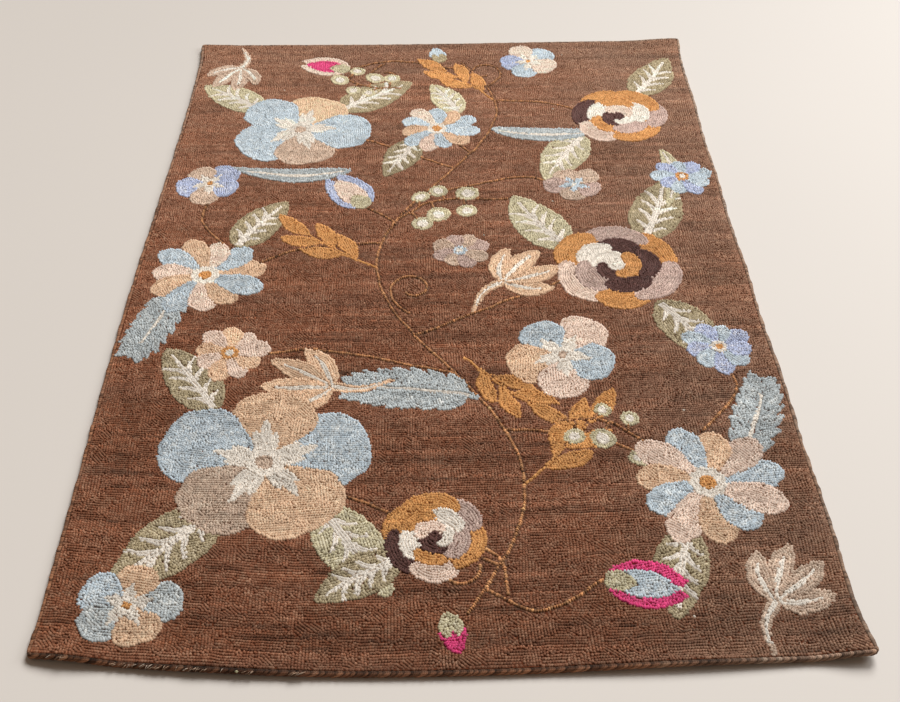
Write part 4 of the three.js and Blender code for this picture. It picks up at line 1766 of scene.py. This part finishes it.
def wrap_colours(style, wrap, place, x, y, brown, rng):
    """Each wrap's colour: like the ground beside it, with painted shade in the grooves, and painted light and
    shade along the pile.
    """
    front = style is FRONT_WRAPS
    odds = np.array([row["front" if front else "other"] for row in WRAPS])
    picked = rng.choice(len(WRAPS), wrap.max() + 1, p=odds / odds.sum())
    brightness = np.array([row["brightness"] for row in WRAPS])[picked]
    at = x[np.unique(wrap, return_index=True)[1]]
    mixed = np.where(front & (at < WORN_END), WORN_MIXED, style["mixed"])
    brightness *= np.clip(rng.normal(1, mixed), *WRAP_BRIGHTNESS)[:, None]
    if front:
        # Painted light: the front's wraps are painted brighter from its left end toward its right.
        brightness *= (1 + FRONT_PAINTED_LIGHT * ramp(at, WORN_END, FRONT_PAINTED_LIGHT_RUN))[:, None]
        brightness /= np.maximum(brightness[:, :1] / BRIGHTEST, 1)
    # Painted shade in the grooves between wraps.
    groove = style["groove"]
    shade = groove + (1.0 - groove) * np.sin(np.pi * place) ** 0.7
    # Each ring's brightness varies by chance and takes the ground's painted light toward the back.
    shade *= rng.normal(1, RING_CHANCE, len(place)) * painted_back_light(y, GROUND_PAINTED_BACK_LIGHT)
    fleck = linear(YARNS[YARN_NUMBER["brown"]]["fleck"])
    dyed = (1 - style["flecked"]) * linear(brown) + style["flecked"] * fleck
    ring = dyed * ground_cast(x, y) * WRAP_CAST * brightness[wrap] * shade[:, None]
    around = np.arange(WRAP_SIDES) / WRAP_SIDES
    beside_pile = (around > BESIDE_PILE[0]) & (around < BESIDE_PILE[1])
    # The crease along the pile: painted shade on the front, lighter toward its right end, and painted light
    # on the other sides.
    crease = style["crease"] + style["crease_gain"] * ramp(x, *CREASE_BRIGHTENS)
    shade_round = np.where(beside_pile[None], crease[:, None], style["outside"])
    return (ring[:, None, :] * shade_round[:, :, None]).reshape(-1, 3)


def wrap_maps(piece, wrap, place):
    """A flat map with the wraps side by side in a few rows, and one that follows the strands."""
    count = wrap.max() + 1
    per_row = math.ceil(count / WRAP_MAP_ROWS)
    of_face = np.repeat(wrap[:-1], WRAP_SIDES)
    following = np.append(place[1:], 1.0)
    following = np.where(following[:len(place)] == 0.0, 1.0, following)[:-1]
    low, high = np.repeat(place[:-1], WRAP_SIDES), np.repeat(following, WRAP_SIDES)
    near = np.tile(np.arange(WRAP_SIDES), len(place) - 1) / WRAP_SIDES
    far = near + 1 / WRAP_SIDES
    u = np.stack([low, high, high, low], axis=-1)
    v = np.stack([near, near, far, far], axis=-1)
    inner = 0.02 + 0.96 * v
    row = (of_face // per_row)[:, None]
    baked = np.stack([(of_face[:, None] % per_row + u) / per_row, (row + inner) / WRAP_MAP_ROWS], axis=-1)
    flat_map(piece, "OFBake", baked.reshape(-1, 2))
    flat_map(piece, "Yarn", np.stack([u + of_face[:, None], v], axis=-1).reshape(-1, 2))


# ---- frayed ends ----------------------------------------------------------------------------

# Where along the front frayed ends hang together, and where a pale knot lies among them.
FRAYED_AT = (-0.565, -0.475, -0.445, -0.42, -0.365, -0.34, -0.285, -0.215)
FRAY_COUNT = 52

# How far strands scatter about those places, and the least and most of their run along the edge, the
# angles round the whipping where they start and end, their clearance, their radius and their shade.
FRAY_SCATTER = 0.012
FRAY_RUN = (0.003, 0.009)
FRAY_START = (-0.3, 0.7)
FRAY_END = (0.9, 1.8)
FRAY_CLEAR = (0.0008, 0.0018)
FRAY_RADIUS = (0.0005, 0.0011)
FRAY_SHADE = (0.7, 1.1)
FRAY_COLOURS = ((0.92, 0.79, 0.68), (0.84, 0.70, 0.59), (0.74, 0.60, 0.50), (0.96, 0.88, 0.80))
FRAY_STEPS = 5
FRAY_SIDES = 6
KNOT_AT = -0.302
KNOT_HALF = 0.0024
KNOT_COLOUR = (0.80, 0.77, 0.62)
SQUARE = np.array([(0, 0), (1, 0), (1, 1), (0, 1)])


def frayed_strand(t, rng):
    """A loose strand's places along the edge, out and up, its radius, and its colour."""
    along = rng.choice(FRAYED_AT) + rng.normal(0, FRAY_SCATTER) + rng.uniform(*FRAY_RUN) * t
    low, high = rng.uniform(*FRAY_START), rng.uniform(*FRAY_END)
    clear = 0.0002 + rng.uniform(*FRAY_CLEAR) * np.sin(np.pi * t)
    out, height = rounded(low + (high - low) * t, clear)
    radius = rng.uniform(*FRAY_RADIUS) * (1 - 0.6 * t**3)
    colour = linear(FRAY_COLOURS[rng.integers(len(FRAY_COLOURS))]) * rng.uniform(*FRAY_SHADE)
    return along, out, height, radius, colour


def knot(t):
    """The pale knot's places along the edge, out and up, its radius, and its colour."""
    along = KNOT_AT + KNOT_HALF * (2 * t - 1)
    out, height = rounded(np.full(FRAY_STEPS, 0.75), 0.0008)
    radius = KNOT_HALF * np.sin(np.pi * np.clip(t, 0.06, 0.94))
    return along, out, height, radius, linear(KNOT_COLOUR)


def frayed_ends(rng):
    """Short loose strands that lie over the front edge's wraps near its left end, and a pale knot."""
    t = np.linspace(0, 1, FRAY_STEPS)
    turn = TAU * np.arange(FRAY_SIDES) / FRAY_SIDES
    strands = [*(frayed_strand(t, rng) for _ in range(FRAY_COUNT)), knot(t)]
    vertices, colours = [], []
    for along, out, height, radius, colour in strands:
        ring_out = out[:, None] + radius[:, None] * np.cos(turn)
        ring_up = np.maximum(height[:, None] + radius[:, None] * np.sin(turn), LOWEST)
        x = np.repeat(along[:, None], FRAY_SIDES, axis=1)
        y = -(LENGTH - WHIP_WIDTH) / 2 - ring_out
        vertices.append(lie_as_made(x.ravel(), y.ravel(), ring_up.ravel()))
        colours.append(np.tile(colour, (x.size, 1)))
    outward = [0, 3, 2, 1]
    strand = tube_faces(FRAY_STEPS, FRAY_SIDES)[..., outward].reshape(-1, 4)
    first = FRAY_STEPS * FRAY_SIDES * np.arange(len(strands))[:, None, None]
    faces = (strand + first).reshape(-1, 4)
    piece = new_piece("frayed_ends", np.concatenate(vertices), faces, wrap_material())
    colour_vertices(piece, np.concatenate(colours))
    cells = math.ceil(math.sqrt(len(faces)))
    face = np.arange(len(faces))
    corner = np.stack([face % cells, face // cells], axis=-1)[:, None] + SQUARE * 0.8 + 0.1
    flat_map(piece, "OFBake", (corner / cells).reshape(-1, 2))
    flat_map(piece, "Yarn", np.tile(SQUARE, (len(faces), 1)))


# ---- the stage ------------------------------------------------------------------------------


class RugStage(PropertyGroup):
    """The floor, the light and the camera."""

    floor: yarn("Floor", (0.87, 0.84, 0.81))
    sky: FloatProperty(name="Sky", description="Strength of the even light", default=0.155, min=0.0)
    sun: FloatProperty(name="Sun", description="Strength of the main light", default=3.49, min=0.0)
    sun_width: FloatProperty(
        name="Sun width", description="How wide the main light looks from the rug",
        default=math.radians(29), subtype="ANGLE",
    )
    sun_from: FloatVectorProperty(
        name="Sun from", description="Direction that the main light comes from", default=(0.38, 0.90, 0.80),
        subtype="DIRECTION",
    )
    window: FloatProperty(
        name="Window", description="Power of the lamp on the right", default=58.0, min=0.0, unit="POWER",
    )
    lens: FloatProperty(name="Lens", description="Focal length of the camera", default=45.886, min=1.0)
    eye: FloatVectorProperty(
        name="Eye", description="Place of the camera", default=(0.0031, -1.7943, 1.4548), subtype="XYZ",
        unit="LENGTH",
    )
    pitch: FloatProperty(
        name="Pitch", description="How far the camera looks down", default=math.radians(43.10),
        subtype="ANGLE",
    )
    yaw: FloatProperty(
        name="Yaw", description="How far the camera is turned to the left", default=math.radians(-0.271),
        subtype="ANGLE",
    )
    roll: FloatProperty(
        name="Roll", description="How far the camera leans", default=math.radians(0.518), subtype="ANGLE",
    )


FLOOR_HALF = 6.0
SKY_COLOUR = (1.0, 0.78, 0.60, 1.0)
SUN_COLOUR = (0.987, 1.0, 1.0)
SUN_DISTANCE = 4
WINDOW_AT = (3.2, 0.7, 2.2)
WINDOW_SIZE = 1.8
WINDOW_COLOUR = (0.93, 0.97, 1.0)
SENSOR_WIDTH = 36.0


def pale_floor(stage):
    """A wide pale floor with faint clouds in it."""
    mesh = bpy.data.meshes.new("floor")
    corners = [(x * FLOOR_HALF, y * FLOOR_HALF, 0) for x, y in ((-1, -1), (1, -1), (1, 1), (-1, 1))]
    mesh.from_pydata(corners, [], [(0, 1, 2, 3)])
    shader = Shader("pale_floor")
    colour = linear(stage.floor)
    clouds = shader.grain(shader.place(), 1.3, 2.0)
    surface = {
        "Base Color": shader.mix(clouds, (*(colour * 0.97), 1.0), (*colour, 1.0)),
        "Roughness": 0.7,
        "Specular IOR Level": 0.2,
    }
    mesh.materials.append(shader.finish(surface))
    floor = bpy.data.objects.new("floor", mesh)
    bpy.context.scene.collection.objects.link(floor)


def soft_light(stage):
    """An even pale surround, a wide soft light from behind the rug, and a lamp on its right."""
    world = bpy.data.worlds.new("surround")
    world.use_nodes = True
    background = world.node_tree.nodes["Background"]
    background.inputs["Color"].default_value = SKY_COLOUR
    background.inputs["Strength"].default_value = stage.sky
    bpy.context.scene.world = world
    sun = bpy.data.lights.new("sun", "SUN")
    sun.energy = stage.sun
    sun.angle = stage.sun_width
    sun.color = SUN_COLOUR
    hang(sun, Vector(stage.sun_from) * SUN_DISTANCE)
    window = bpy.data.lights.new("window", "AREA")
    window.energy = stage.window
    window.size = WINDOW_SIZE
    window.color = WINDOW_COLOUR
    hang(window, Vector(WINDOW_AT))


def hang(light, at):
    """Hangs a light at a place, turned to the middle of the rug."""
    lamp = bpy.data.objects.new(light.name, light)
    lamp.matrix_world = Matrix.Translation(at) @ (-at).to_track_quat("-Z", "Y").to_matrix().to_4x4()
    bpy.context.scene.collection.objects.link(lamp)


def camera(stage):
    """The camera, above the middle of the front edge."""
    data = bpy.data.cameras.new("camera")
    data.sensor_width = SENSOR_WIDTH
    data.lens = stage.lens
    eye = bpy.data.objects.new("camera", data)
    eye.matrix_world = (
        Matrix.Translation(stage.eye)
        @ Matrix.Rotation(stage.yaw, 4, "Z")
        @ Matrix.Rotation(math.pi / 2 - stage.pitch, 4, "X")
        @ Matrix.Rotation(-stage.roll, 4, "Z")
    )
    bpy.context.scene.collection.objects.link(eye)
    bpy.context.scene.camera = eye


# ---- panel and registering ------------------------------------------------------------------

STEPS = (
    RUG_OT_stage, RUG_OT_ground, RUG_OT_petals, RUG_OT_leaves, RUG_OT_stems, RUG_OT_whipping, RUG_OT_frays,
    RUG_OT_backing,
)


class RUG_PT_panel(Panel):
    """Lists the steps and the settings of the rug"""

    bl_label = "Hand-tufted Rug"
    bl_space_type = "VIEW_3D"
    bl_region_type = "UI"
    bl_category = "Rug"

    def draw(self, context):
        layout = self.layout
        for step in STEPS:
            layout.operator(step.bl_idname)
        for group in (context.scene.rug_sizes, context.scene.rug_yarns, context.scene.rug_stage):
            box = layout.box()
            for name in group.__annotations__:
                box.prop(group, name)


GROUPS = {"rug_sizes": RugSizes, "rug_yarns": RugYarns, "rug_stage": RugStage}


def register():
    """Registers the classes and gives every scene its settings."""
    for kind in (*GROUPS.values(), *STEPS, RUG_PT_panel):
        bpy.utils.register_class(kind)
    for name, group in GROUPS.items():
        setattr(bpy.types.Scene, name, PointerProperty(type=group))


def unregister():
    """Takes the settings and the classes away again."""
    for name in GROUPS:
        delattr(bpy.types.Scene, name)
    for kind in (RUG_PT_panel, *reversed(STEPS), *reversed(GROUPS.values())):
        bpy.utils.unregister_class(kind)


def main():
    """Makes the rug and its stage."""
    register()
    bpy.ops.rug.set_stage()
    bpy.ops.rug.tuft_ground()
    bpy.ops.rug.tuft_petals()
    bpy.ops.rug.tuft_leaves()
    bpy.ops.rug.tuft_stems()
    bpy.ops.rug.whip_edges()
    bpy.ops.rug.fray_ends()
    bpy.ops.rug.lay_backing()


if __name__ == "__main__":
    main()
